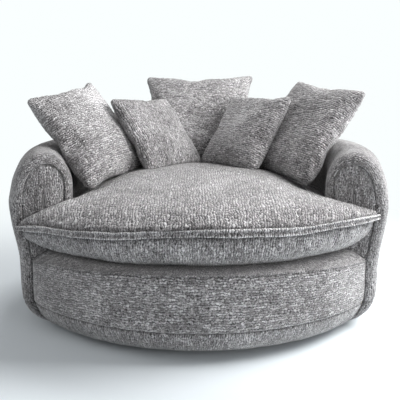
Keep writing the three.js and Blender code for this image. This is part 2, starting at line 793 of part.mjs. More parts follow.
// Round seat cushion, wider than the drum's corners in front and pressed against the inner wall
function seatCushion() {
  const columns = seatColumns();
  const ring = (share, height) => columns.map(({ bearing, reach, flange, pinch }) =>
    polar(share * reach, bearing, height(flange, pinch)));
  const tucked = (share, height) => columns.map(({ bearing, reach, flange, pinch }) =>
    polar((1 - (1 - share) * (1 + earTuckShare * pinch)) * reach, bearing, height(flange)));
  const rings = [
    ...seatTopShares.map((share) => ring(share, (flange, pinch) => flange
      + (seatCrownHeight - flange) * Math.sqrt(1 - share ** 3)
      * (1 - earPinchShare * pinch * share ** 4))),
    ...flangeShares.map(([share, depth]) => ring(share, (flange) => flange - flangeDeep * depth)),
    ...undersideShares.map(([share, rise]) => tucked(share, (flange) =>
      seatBottom + (flange - flangeDeep - seatBottom) * rise)),
  ];
  const cap = polygonCap(columns.map(({ bearing }) => [Math.cos(bearing), Math.sin(bearing)]));
  const wall = channel(-wallIn - softGap, overallRadius, seatBottom - overrun,
    backHeight, facingCrown + softGap);
  return cut(loft(rings, cap), wall);
}

// Reach, flange height and pinch round the seat cushion, its ears hanging in front of the arm faces
function seatColumns() {
  const front = spread(-1, 1, drumSteps).map((share) => ({
    bearing: frontBearing(overallRadius, share, 0),
    reach: overallRadius + earReach * share ** 4,
    flange: flangeHeight - (share < 0 ? leftEarDrop : rightEarDrop) * Math.abs(share) ** 3,
    pinch: share ** 6,
  }));
  const right = front.at(-1).bearing;
  const left = front[0].bearing + fullTurn;
  const behind = spread(0, 1, seatSides - drumSteps).slice(1, -1).map((share) => {
    const round = Math.sin(Math.PI * share);
    return {
      bearing: right + (left - right) * share,
      reach: sideReach + (backReach - sideReach) * round,
      flange: flangeHeight - (share < 0.5 ? rightEarDrop : leftEarDrop) * (1 - round),
      pinch: (1 - round) ** 6,
    };
  });
  return [...front, ...behind];
}

// Square cushion in the x-z plane: corners at full size, sides drawn in, both faces crowned.
// The front swells further than the back. With a lift, its upper half is moved up and its middle
// drawn out between, as it passes when raised.
function cushionGeometry(width, height, crown, lift = 0) {
  const shares = spread(-quarterTurn, quarterTurn, cushionSteps).map(Math.sin);
  const rows = lift > 0 ? [...shares.filter((v) => v <= 0), ...shares.filter((v) => v >= 0)] : shares;
  const raised = (j) => (lift > 0 && j > cushionSteps / 2 ? lift : 0);
  const face = (sign) => shares.flatMap((u) => rows.map((v, j) => new THREE.Vector3(
    (width / 2) * u * (1 - cushionDraw * (1 - v * v)),
    sign * crown * (sign < 0 ? frontCrownShare : 1) * Math.sqrt(Math.max(0, (1 - u * u) * (1 - v * v))),
    (height / 2) * v * (1 - cushionDraw * (1 - u * u)) + raised(j))));
  const index = [];
  const count = rows.length;
  for (const [start, flip] of [[0, false], [shares.length * count, true]]) {
    for (let i = 0; i + 1 < shares.length; i++) {
      for (let j = 0; j + 1 < count; j++) {
        const a = start + i * count + j;
        const [b, c, d] = [a + 1, a + count + 1, a + count];
        const along = (i < (shares.length - 1) / 2) === (j < (count - 1) / 2);
        const triangles = along ? [a, b, c, a, c, d] : [a, b, d, b, c, d];
        index.push(...(flip ? triangles.reverse() : triangles));
      }
    }
  }
  const geometry = closedGeometry([...face(1), ...face(-1)], index);
  return mergeVertices(geometry);
}

function addCushions() {
  const seat = seatCushion();
  addMesh("seat_cushion", seat, cushionFabric);
  const seatAbove = seat.clone().translate(0, 0, softGap);
  const byName = new Map(looseCushions.map((cushion) => [cushion.name, cushion]));
  for (const cushion of looseCushions) {
    const passing = cushion.behind.map((name) => placed(byName.get(name), softGap, cushionLift));
    addMesh(cushion.name, cut(placed(cushion, 0, 0), seatAbove, ...passing), cushionFabric);
  }
}

function placed(cushion, grow, lift) {
  const { size, widthShare, heightShare, crownShare, yaw, lean, roll } = cushion;
  const geometry = cushionGeometry(
    size * widthShare + 2 * grow, size * heightShare + 2 * grow, size * crownShare + grow, lift);
  const turn = new THREE.Euler(-lean * degree, -roll * degree, yaw * degree, "ZXY");
  const at = polar(pathRadius - wallIn - size * cushion.setInShare, cushion.bearing * degree,
    seatCrownHeight + size * cushion.riseShare);
  return geometry.applyMatrix4(new THREE.Matrix4().makeRotationFromEuler(turn)).translate(...at);
}

addGlides();
addTurntable();
addBase();
addDrumFront();
addHorseshoe();
addWebbing();
addDeck();
addCushions();

export default chair;
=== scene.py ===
"""Round swivel cuddle chair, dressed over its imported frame.

Metres, +Z up, origin on the floor under the swivel axis, the open front facing -Y.
"""

import json
import logging
import math
from dataclasses import dataclass, field
from enum import Enum
from typing import Any, Callable, Sequence

import bpy
from mathutils import Matrix, Vector, noise
from mathutils.bvhtree import BVHTree

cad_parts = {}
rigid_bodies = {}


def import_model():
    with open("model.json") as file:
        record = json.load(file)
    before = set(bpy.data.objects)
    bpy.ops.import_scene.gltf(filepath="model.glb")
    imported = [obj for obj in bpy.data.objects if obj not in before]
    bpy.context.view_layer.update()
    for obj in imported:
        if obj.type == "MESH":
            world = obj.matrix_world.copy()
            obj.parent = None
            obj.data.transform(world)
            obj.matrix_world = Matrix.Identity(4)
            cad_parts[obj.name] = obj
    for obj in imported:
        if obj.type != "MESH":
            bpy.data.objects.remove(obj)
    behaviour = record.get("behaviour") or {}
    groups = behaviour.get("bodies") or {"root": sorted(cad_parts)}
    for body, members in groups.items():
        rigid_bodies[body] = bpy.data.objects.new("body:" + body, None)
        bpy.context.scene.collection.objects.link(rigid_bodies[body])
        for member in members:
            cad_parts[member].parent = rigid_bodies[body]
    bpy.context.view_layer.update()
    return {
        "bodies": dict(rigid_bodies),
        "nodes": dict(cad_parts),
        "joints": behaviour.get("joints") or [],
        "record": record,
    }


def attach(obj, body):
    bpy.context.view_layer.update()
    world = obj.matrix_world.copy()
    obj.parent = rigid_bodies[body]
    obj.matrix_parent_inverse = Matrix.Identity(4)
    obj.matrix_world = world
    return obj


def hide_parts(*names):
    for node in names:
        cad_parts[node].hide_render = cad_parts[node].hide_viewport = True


log = logging.getLogger("cuddle_chair")

WEAVE_MAP = "weave"
# Name of each piece's map of painted shade (above 0, in seams and grooves) and painted highlight
# (below 0, on ridges and patches).
PAINTED_SHADING_MAP = "fold"
MERGE_DISTANCE = 1e-5
SIM_FRAMES = 20
TUFT_SIZE = 0.008
COVER_THICK = 0.003
SEAM_WIDTH = 0.0035
SEAM_DEPTH = 0.0035
SEAM_SHADE = 0.004
LIPS = (-0.040, -0.025, -0.010)
BAND_SEAM = math.radians(71.2)
BACKDROP = (0.955, 1.0, 1.0, 1.0)

Colour = tuple[float, float, float]
Place = Callable[[int, int], Vector]
Weave = Callable[[int, int, int], tuple[float, float]]
Fold = Callable[[int, int], float]


class Nap(Enum):
    """Way that the pile of the chenille runs on a panel."""

    UPRIGHT = "upright"
    SIDEWAYS = "sideways"


# ---------------------------------------------------------------- small sums


def spread(start: float, end: float, count: int) -> list[float]:
    """Returns values from start to end in equal steps, both ends included."""
    return [start + (end - start) * i / count for i in range(count + 1)]


def clamp(value: float, low: float, high: float) -> float:
    """Returns the value kept between low and high."""
    return max(low, min(high, value))


def smooth_step(value: float, low: float, high: float) -> float:
    """Returns 0 below low, 1 above high and a smooth rise between them."""
    share = clamp((value - low) / (high - low), 0.0, 1.0)
    return share * share * (3.0 - 2.0 * share)


def seam_dip(distance: float, width: float, depth: float) -> float:
    """Returns how far a stitched seam pulls the cloth in at a distance from it.

    Args:
        distance: Distance from the seam.
        width: Half width of the groove.
        depth: Depth of the groove.

    Returns:
        The depth there, a little below zero where the padding swells beside the seam.
    """
    near = math.exp(-((distance / width) ** 2))
    swell = math.exp(-(((abs(distance) - 3.2 * width) / (1.6 * width)) ** 2))
    return depth * (near - 0.3 * swell)


def seam_shade(distance: float) -> float:
    """Returns how much painted shade a seam's groove gets at a distance from it, from 0 to 1."""
    return math.exp(-(distance / SEAM_SHADE) ** 2)


def ripple(point: Vector, scale: float, height: float, seed: float = 0.0) -> float:
    """Returns a smooth random height at a point, with bumps about one scale across."""
    return height * noise.noise(point / scale + Vector((seed, 1.7 * seed, -seed)))


# ---------------------------------------------------------------- mesh helpers


def only(piece: bpy.types.Object) -> None:
    """Makes one piece the only selected and the active one."""
    bpy.ops.object.select_all(action="DESELECT")
    piece.select_set(True)
    bpy.context.view_layer.objects.active = piece


def edit_all(piece: bpy.types.Object, *steps: Callable[[], Any]) -> None:
    """Runs edit-mode steps on a piece with its whole mesh selected.

    Args:
        piece: The piece to edit.
        steps: Operators' calls, run in order.
    """
    only(piece)
    bpy.ops.object.mode_set(mode="EDIT")
    bpy.ops.mesh.select_all(action="SELECT")
    for step in steps:
        step()
    bpy.ops.object.mode_set(mode="OBJECT")


def apply_modifier(piece: bpy.types.Object, kind: str, **settings: Any) -> None:
    """Adds a modifier to a piece, sets it and applies it.

    Args:
        piece: The piece to change.
        kind: The modifier's type.
        settings: The modifier's own settings.
    """
    only(piece)
    modifier = piece.modifiers.new(kind.title(), kind)
    for name, value in settings.items():
        setattr(modifier, name, value)
    bpy.ops.object.modifier_apply(modifier=modifier.name)


def subdivide(piece: bpy.types.Object) -> None:
    """Smooths a piece with one level of Subdivision Surface."""
    apply_modifier(piece, "SUBSURF", levels=1, render_levels=1)


def grid_piece(
    name: str, columns: int, rows: int, place: Place, weave: Weave, fold: Fold | None = None,
) -> bpy.types.Object:
    """Makes a piece from a grid whose points are placed by their column and row.

    Args:
        name: The piece's name.
        columns: Faces across.
        rows: Faces up.
        place: Gives a point's place from its column and row.
        weave: Gives a point's place on the cloth from its column and row, and its face's row.
        fold: Gives the painted shading at a point, 1 for painted shade in a groove and -1 for a
            painted highlight on a ridge.

    Returns:
        The new piece, with its weave map and its map of painted shade and highlight.
    """
    bpy.ops.object.select_all(action="DESELECT")
    bpy.ops.mesh.primitive_grid_add(
        x_subdivisions=columns, y_subdivisions=rows, size=1.0, calc_uvs=False, location=(0, 0, 0))
    piece = bpy.context.object
    piece.name = piece.data.name = name
    mesh = piece.data
    steps = [(round((v.co.x + 0.5) * columns), round((v.co.y + 0.5) * rows))
             for v in mesh.vertices]
    layer = mesh.uv_layers.new(name=WEAVE_MAP)
    for face in mesh.polygons:
        corners = [steps[i] for i in face.vertices]
        row = min(j for _, j in corners)
        for loop, (i, j) in zip(face.loop_indices, corners):
            layer.data[loop].uv = weave(i, j, row)
    # Painted shade and painted highlight for each point, which the fabric blends into its colour.
    folds = mesh.attributes.new(PAINTED_SHADING_MAP, "FLOAT", "POINT")
    for vertex, (i, j) in zip(mesh.vertices, steps):
        vertex.co = place(i, j)
        folds.data[vertex.index].value = fold(i, j) if fold else 0.0
    mesh.update()
    return piece


def face_out(piece: bpy.types.Object, outward: Callable[[Vector], Vector]) -> None:
    """Turns a piece's faces so that most of them look the given way.

    Args:
        piece: The piece, its faces already alike.
        outward: Gives the outward direction at a point.
    """
    agreed = sum(face.area * face.normal.dot(outward(face.center)) for face in piece.data.polygons)
    if agreed < 0:
        edit_all(piece, bpy.ops.mesh.flip_normals)


def shift_out(piece: bpy.types.Object, amount: Callable[[Vector], float]) -> None:
    """Moves a piece's points out along their normals.

    Args:
        piece: The piece to change.
        amount: Gives how far out a point moves from its place.
    """
    normals = [vertex.normal.copy() for vertex in piece.data.vertices]
    for vertex, normal in zip(piece.data.vertices, normals):
        vertex.co += normal * amount(vertex.co)


def tuft(piece: bpy.types.Object, height: float = 0.0026) -> None:
    """Roughens a finished cover by the height of its tufts, so that its outline isn't smooth."""
    shift_out(piece, lambda spot: ripple(spot, TUFT_SIZE, height, 7.0))


def merge_doubles(piece: bpy.types.Object) -> None:
    """Merges a piece's points that lie in one place."""
    edit_all(piece, lambda: bpy.ops.mesh.remove_doubles(threshold=MERGE_DISTANCE))


def tree_of(piece: bpy.types.Object) -> BVHTree:
    """Returns a search tree over a piece's faces, in the chair's frame."""
    mesh = piece.data
    return BVHTree.FromPolygons(
        [v.co.copy() for v in mesh.vertices], [tuple(p.vertices) for p in mesh.polygons])


def running_lengths(points: Sequence[Vector]) -> list[float]:
    """Returns each point's distance along a line of points.

    Args:
        points: The line's points in order.

    Returns:
        A distance for each point, 0 for the first.
    """
    lengths = [0.0]
    for before, after in zip(points, points[1:]):
        lengths.append(lengths[-1] + (after - before).length)
    return lengths


def dress(
    piece: bpy.types.Object, material: bpy.types.Material, body: str,
    nodes: Sequence[str],
) -> None:
    """Gives a finished padded piece its material and its place in the chair.

    Args:
        piece: The piece.
        material: Its finish.
        body: The body that it rides on.
        nodes: The plain solids that it stands for.
    """
    only(piece)
    bpy.ops.object.shade_smooth()
    piece.data.materials.clear()
    piece.data.materials.append(material)
    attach(piece, body)
    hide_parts(*nodes)
    log.info("made %s: %d faces on %s", piece.name, len(piece.data.polygons), body)


@dataclass
class Filling:
    """Stuffing pressed into sewn covers by a cloth simulation.

    Attributes:
        pressure: Outward push of the filling.
        stiffness: How little the cover stretches.
        bending: How little the cover creases.
        slack: Spare cloth, as a share of its size, which gathers into small folds.
        cap: Furthest that a point may move.
    """

    pressure: float = 4.0
    stiffness: float = 15.0
    bending: float = 0.5
    slack: float = 0.0
    cap: float = 0.03

    def fill(self, pieces: Sequence[bpy.types.Object], pinned: str = "") -> None:
        """Blows the pieces up together and keeps the result in their meshes.

        Args:
            pieces: The closed covers.
            pinned: Name of the vertex group that stays put, if there is one.
        """
        scene = bpy.context.scene
        scene.frame_start, scene.frame_end = 1, SIM_FRAMES
        scene.frame_set(1)
        rest = {piece.name: [v.co.copy() for v in piece.data.vertices] for piece in pieces}
        for piece in pieces:
            self._add_cloth(piece, pinned)
        for frame in range(1, SIM_FRAMES + 1):
            scene.frame_set(frame)
        for piece in pieces:
            only(piece)
            bpy.ops.object.modifier_apply(modifier="Cloth")
            for vertex, start in zip(piece.data.vertices, rest[piece.name]):
                move = vertex.co - start
                if move.length > self.cap:
                    vertex.co = start + move.normalized() * self.cap
        scene.frame_set(1)

    def _add_cloth(self, piece: bpy.types.Object, pinned: str) -> None:
        """Puts the cloth modifier on one cover.

        Args:
            piece: The closed cover.
            pinned: Name of the vertex group that stays put, or nothing.
        """
        cloth = piece.modifiers.new("Cloth", "CLOTH")
        settings = cloth.settings
        settings.quality = 7
        settings.mass = 0.3
        settings.tension_stiffness = self.stiffness
        settings.compression_stiffness = self.stiffness
        settings.shear_stiffness = self.stiffness / 3
        settings.bending_stiffness = self.bending
        settings.use_pressure = True
        settings.uniform_pressure_force = self.pressure
        settings.shrink_min = -self.slack
        settings.effector_weights.gravity = 0
        cloth.collision_settings.use_collision = False
        if pinned:
            settings.vertex_group_mass = pinned
        cloth.point_cache.frame_start, cloth.point_cache.frame_end = 1, SIM_FRAMES


# ---------------------------------------------------------------- materials


class Value:
    """A number in a material that adds Math nodes when it is used in a sum."""

    def __init__(self, shader: "Shader", socket: bpy.types.NodeSocket) -> None:
        """Wraps an output socket of one of the shader's nodes."""
        self.shader = shader
        self.socket = socket

    def math(self, operation: str, *values: Any) -> "Value":
        """Returns the result of a Math node on the given values.

        Args:
            operation: The node's operation.
            values: Its inputs in order, numbers or values.

        Returns:
            The node's result.
        """
        return self.shader.node("ShaderNodeMath", {"operation": operation}, dict(enumerate(values)))

    def __add__(self, other: Any) -> "Value":
        """Returns the sum."""
        return self.math("ADD", self, other)

    __radd__ = __add__

    def __sub__(self, other: Any) -> "Value":
        """Returns the difference."""
        return self.math("SUBTRACT", self, other)

    def __rsub__(self, other: Any) -> "Value":
        """Returns the difference the other way round."""
        return self.math("SUBTRACT", other, self)

    def __mul__(self, other: Any) -> "Value":
        """Returns the product."""
        return self.math("MULTIPLY", self, other)

    __rmul__ = __mul__

    def __truediv__(self, other: Any) -> "Value":
        """Returns the quotient."""
        return self.math("DIVIDE", self, other)

    def rise(self, low: float, high: float) -> "Value":
        """Returns 0 below low, 1 above high and a smooth rise between them."""
        return self.shader.node(
            "ShaderNodeMapRange", {"interpolation_type": "SMOOTHSTEP"},
            {"Value": self, "From Min": low, "From Max": high})

    def whole(self) -> "Value":
        """Returns the part before the decimal point."""
        return self.math("FLOOR", self)

    def power(self, exponent: float) -> "Value":
        """Returns the value raised to a power."""
        return self.math("POWER", self, exponent)

    def fraction(self) -> "Value":
        """Returns the part after the decimal point."""
        return self.math("FRACT", self)

    def distance_to(self, centre: float) -> "Value":
        """Returns how far the value lies from a centre."""
        return self.math("ABSOLUTE", self - centre)


class Shader:
    """Node tree of one material."""

    def __init__(self, name: str) -> None:
        """Starts an empty material of that name."""
        self.material = bpy.data.materials.new(name)
        self.material.use_nodes = True
        self.tree = self.material.node_tree
        self.tree.nodes.clear()

    def node(
        self, kind: str, settings: dict[str, Any] | None = None,
        inputs: dict[Any, Any] | None = None, output: Any = 0,
    ) -> Value:
        """Adds a node, sets it, then fills its sockets.

        Args:
            kind: The node's type.
            settings: Its settings; "stops" holds a ramp's places and colours.
            inputs: Values or links by socket name or number.
            output: Name or number of the output that is returned.

        Returns:
            The wanted output as a value.
        """
        made = self.tree.nodes.new(kind)
        for name, value in (settings or {}).items():
            if name == "stops":
                self._set_stops(made.color_ramp, value)
            else:
                setattr(made, name, value)
        for name, value in (inputs or {}).items():
            if isinstance(value, Value):
                self.tree.links.new(value.socket, made.inputs[name])
            else:
                made.inputs[name].default_value = value
        return Value(self, made.outputs[output])

    @staticmethod
    def _set_stops(ramp: bpy.types.ColorRamp, stops: Sequence[tuple[float, Colour]]) -> None:
        """Gives a colour ramp its stops.

        Args:
            ramp: The ramp.
            stops: Places from 0 to 1 with their colours.
        """
        while len(ramp.elements) < len(stops):
            ramp.elements.new(0.5)
        for element, (place, colour) in zip(ramp.elements, stops):
            element.position = place
            element.color = (*colour, 1.0)

    def object_place(self) -> Value:
        """Returns the place on the object."""
        return self.node("ShaderNodeTexCoord", output="Object")

    def parts(self, vector: Value) -> tuple[Value, Value, Value]:
        """Returns a vector's three numbers."""
        split = self.node("ShaderNodeSeparateXYZ", {}, {0: vector}).socket.node
        return tuple(Value(self, split.outputs[i]) for i in range(3))

    def join(self, x: Any, y: Any, z: Any = 0.0) -> Value:
        """Returns a vector of three numbers."""
        return self.node("ShaderNodeCombineXYZ", {}, {0: x, 1: y, 2: z})

    def speckle(self, place: Value, scale: float, detail: float = 2.0) -> Value:
        """Returns smooth noise from 0 to 1 at a place."""
        return self.node(
            "ShaderNodeTexNoise", {}, {"Vector": place, "Scale": scale, "Detail": detail})

    def chance(self, place: Value) -> Value:
        """Returns a random number from 0 to 1 that is the same for equal places."""
        return self.node("ShaderNodeTexWhiteNoise", {"noise_dimensions": "3D"}, {"Vector": place})

    def blend(self, share: Any, first: Any, second: Any) -> Value:
        """Returns two colours mixed.

        Args:
            share: How much of the second colour, from 0 to 1.
            first: The first colour.
            second: The second colour.

        Returns:
            The mixed colour.
        """
        made = self.tree.nodes.new("ShaderNodeMix")
        made.data_type = "RGBA"
        for number, value in ((0, share), (6, first), (7, second)):
            if isinstance(value, Value):
                self.tree.links.new(value.socket, made.inputs[number])
            elif number:
                made.inputs[number].default_value = (*value, 1.0)
            else:
                made.inputs[number].default_value = value
        return Value(self, made.outputs[2])

    def finish(
        self, colour: Value, height: Value, relief: float, **sockets: Any,
    ) -> bpy.types.Material:
        """Closes the material with a Principled shader.

        Args:
            colour: Base colour.
            height: Height of the surface, from 0 to 1.
            relief: What a height of 1 means, in metres.
            sockets: Further sockets of the shader, words joined by underlines.

        Returns:
            The finished material.
        """
        inputs = {name.replace("_", " "): value for name, value in sockets.items()}
        inputs["Base Color"] = colour
        inputs["Normal"] = self.node(
            "ShaderNodeBump", {}, {"Strength": 1.0, "Distance": relief, "Height": height})
        self.node_out(self.node("ShaderNodeBsdfPrincipled", {}, inputs))
        return self.material

    def node_out(self, surface: Value) -> None:
        """Links a surface to the material's output."""
        made = self.tree.nodes.new("ShaderNodeOutputMaterial")
        self.tree.links.new(surface.socket, made.inputs["Surface"])


@dataclass(frozen=True)
class Chenille:
    """Ribbed chenille: rows of short soft tufts in greys a little apart, lying one way.

    Attributes:
        name: The material's name.
        deep: Colour of the painted shade between the tufts and in the seams' grooves.
        dark: Colour of the darkest yarn.
        middle: Colour of most of the yarn.
        light: Colour of the palest yarn.
        tuft_length: Length of a tuft along its row.
        row_width: Distance from row to row.
        relief: Height of the tufts.
    """

    name: str
    deep: Colour = (0.022, 0.021, 0.021)
    dark: Colour = (0.110, 0.105, 0.105)
    middle: Colour = (0.300, 0.288, 0.290)
    light: Colour = (0.800, 0.785, 0.792)
    tuft_length: float = 0.0120
    row_width: float = 0.0080
    relief: float = 0.0036

    def build(self) -> bpy.types.Material:
        """Returns the material."""
        s = Shader(self.name)
        cloth = s.node("ShaderNodeUVMap", {"uv_map": WEAVE_MAP})
        along, across, _ = s.parts(cloth)
        across = (across + 0.0180 * (s.speckle(cloth, 24.0) - 0.5)
                  + 0.0110 * (s.speckle(cloth, 100.0) - 0.5))
        along = along + 0.0140 * (s.speckle(cloth, 90.0) - 0.5)
        rows = across / self.row_width
        row = rows.whole()
        tufts = along / self.tuft_length + 17.0 * s.chance(row)
        tuft = tufts.whole()
        tone = s.chance(s.join(tuft, row))
        beside = rows.fraction().distance_to(0.5) * 2.0
        ahead = tufts.fraction().distance_to(0.5) * 2.0
        fuzz = s.speckle(s.join(along * 170.0, across * 290.0), 1.0)
        bump = (1.0 - beside.power(2.2)) * (1.0 - 0.7 * ahead.power(4.0)) * (0.45 + 1.10 * fuzz)
        yarns = s.speckle(s.join(along / (3.5 * self.tuft_length), row * 3.7), 1.0)
        patches = s.speckle(cloth, 6.5, 4.0)
        # The piece's map of painted shade (in seams and grooves) and painted highlight (on ridges
        # and patches).
        fold = s.node("ShaderNodeAttribute", {"attribute_name": PAINTED_SHADING_MAP}, output="Fac")
        shade = 0.26 * tone + 0.50 * yarns + 0.46 * patches + 1.15 * fuzz - 0.66
        # Painted highlight where the map is below 0.
        shade = shade + (0.0 - fold).rise(0.0, 1.0) * 0.30
        yarn = s.node("ShaderNodeValToRGB", {"stops": [
            (0.22, self.dark), (0.50, self.middle), (0.82, self.light)]}, {0: shade})
        # Painted shade in the hollows between the tufts.
        gap_shade = (1.0 - bump).rise(0.30, 0.86) * 0.88
        # Painted shade in the seams' grooves, where the map is above 0.
        groove = fold.rise(0.0, 1.0) * 0.80
        colour = s.blend(groove, s.blend(gap_shade, yarn, self.deep), self.deep)
        height = bump * (0.70 + 0.30 * tone) + 0.20 * fuzz
        return s.finish(
            colour, height, self.relief, Roughness=0.90, Sheen_Weight=0.55, Sheen_Roughness=0.38,
            Specular_IOR_Level=0.15)


@dataclass(frozen=True)
class Plywood:
    """Birch plywood: pale faces with long grain, and plies that show on the edges.

    Attributes:
        name: The material's name.
        pale: Colour of the pale wood.
        brown: Colour of the grain.
        ply: Thickness of one ply.
    """

    name: str = "birch_plywood"
    pale: Colour = (0.640, 0.470, 0.275)
    brown: Colour = (0.420, 0.265, 0.130)
    ply: float = 0.0015

    def build(self) -> bpy.types.Material:
        """Returns the material."""
        s = Shader(self.name)
        place = s.object_place()
        x, y, z = s.parts(place)
        grain = s.speckle(s.join(x * 4.0, y * 60.0, z * 60.0), 1.0, 5.0)
        plies = (z / (2 * self.ply)).fraction().distance_to(0.5).rise(0.18, 0.30)
        colour = s.blend(grain.rise(0.35, 0.75), self.pale, self.brown)
        colour = s.blend(0.25 * plies, colour, self.brown)
        return s.finish(colour, grain, 0.0003, Roughness=0.35 * grain + 0.45)


@dataclass(frozen=True)
class Hardboard:
    """Brown pressed fibre board, bent round the drum.

    Attributes:
        name: The material's name.
        light: Colour of the pale fibres.
        dark: Colour of the dark fibres.
    """

    name: str = "brown_hardboard"
    light: Colour = (0.260, 0.160, 0.090)
    dark: Colour = (0.150, 0.088, 0.048)

    def build(self) -> bpy.types.Material:
        """Returns the material."""
        s = Shader(self.name)
        place = s.object_place()
        fibres = s.speckle(place, 220.0, 6.0)
        colour = s.blend(fibres.rise(0.3, 0.7), self.dark, self.light)
        return s.finish(colour, fibres, 0.0004, Roughness=0.7)


@dataclass(frozen=True)
class Foam:
    """Open-cell upholstery foam, cream and slightly yellowed.

    Attributes:
        name: The material's name.
        cream: Colour of the foam.
        cell: Colour of the painted shade deep in its cells.
    """

    name: str = "cream_foam"
    cream: Colour = (0.800, 0.735, 0.560)
    cell: Colour = (0.560, 0.480, 0.320)

    def build(self) -> bpy.types.Material:
        """Returns the material."""
        s = Shader(self.name)
        place = s.object_place()
        cells = s.node(
            "ShaderNodeTexVoronoi", {}, {"Vector": place, "Scale": 480.0}, output="Distance")
        patches = s.speckle(place, 9.0, 3.0)
        # Painted shade deep in the cells, mixed with random patches of tone.
        colour = s.blend(cells.rise(0.25, 0.7) * 0.8 + 0.2 * patches, self.cream, self.cell)
        return s.finish(colour, 1.0 - cells, 0.0008, Roughness=0.95)


@dataclass(frozen=True)
class Webbing:
    """Elastic webbing: dark woven strap with paler lines along it.

    Attributes:
        name: The material's name.
        dark: Colour of the rubber threads.
        line: Colour of the paler lines.
    """

    name: str = "elastic_webbing"
    dark: Colour = (0.055, 0.046, 0.038)
    line: Colour = (0.330, 0.250, 0.160)

    def build(self) -> bpy.types.Material:
        """Returns the material."""
        s = Shader(self.name)
        place = s.object_place()
        x, y, _ = s.parts(place)
        twill = ((x + y) * 260.0).fraction().distance_to(0.5)
        threads = ((x - y) * 190.0).fraction().distance_to(0.5)
        colour = s.blend(twill.rise(0.38, 0.48) * 0.6, self.dark, self.line)
        return s.finish(colour, twill + threads, 0.0005, Roughness=0.85)


@dataclass(frozen=True)
class Lining:
    """Black non-woven lining under the base, pressed in small points.

    Attributes:
        name: The material's name.
        black: Colour of the lining.
        worn: Colour of its loose fibres.
    """

    name: str = "black_lining"
    black: Colour = (0.022, 0.022, 0.025)
    worn: Colour = (0.060, 0.060, 0.066)

    def build(self) -> bpy.types.Material:
        """Returns the material."""
        s = Shader(self.name)
        place = s.object_place()
        x, y, _ = s.parts(place)
        dots = (x * 320.0).fraction().distance_to(0.5) + (y * 320.0).fraction().distance_to(0.5)
        fibres = s.speckle(place, 300.0, 4.0)
        colour = s.blend(fibres.rise(0.4, 0.75), self.black, self.worn)
        return s.finish(colour, 0.6 * dots + 0.4 * fibres, 0.0004, Roughness=0.9)


@dataclass(frozen=True)
class PlatedSteel:
    """Zinc-plated pressed steel with a fine spangle and dull patches.

    Attributes:
        name: The material's name.
        bright: Colour of the bright facets.
        dull: Colour of the dull patches.
    """

    name: str = "plated_steel"
    bright: Colour = (0.620, 0.640, 0.660)
    dull: Colour = (0.360, 0.370, 0.380)

    def build(self) -> bpy.types.Material:
        """Returns the material."""
        s = Shader(self.name)
        place = s.object_place()
        spangle = s.node(
            "ShaderNodeTexVoronoi", {}, {"Vector": place, "Scale": 90.0}, output="Color")
        facet, _, _ = s.parts(spangle)
        stain = s.speckle(place, 24.0, 4.0)
        colour = s.blend(0.5 * facet + 0.4 * stain, self.bright, self.dull)
        scratches = s.speckle(place, 700.0, 2.0)
        return s.finish(
            colour, scratches, 0.00008, Metallic=1.0, Roughness=0.22 + 0.25 * stain)


@dataclass(frozen=True)
class MouldedPlastic:
    """Black moulded plastic with a fine spark-eroded grain.

    Attributes:
        name: The material's name.
        black: Colour of the plastic.
        scuffed: Colour where the floor has scuffed it.
    """

    name: str = "moulded_plastic"
    black: Colour = (0.018, 0.018, 0.020)
    scuffed: Colour = (0.070, 0.070, 0.074)

    def build(self) -> bpy.types.Material:
        """Returns the material."""
        s = Shader(self.name)
        place = s.object_place()
        grain = s.speckle(place, 1400.0, 2.0)
        _, _, z = s.parts(place)
        scuff = (1.0 - z.rise(0.0002, 0.0022)) * s.speckle(place, 120.0, 4.0)
        colour = s.blend(scuff, self.black, self.scuffed)
        return s.finish(colour, grain, 0.00012, Roughness=0.45 + 0.3 * scuff)


# ---------------------------------------------------------------- the chair's plan


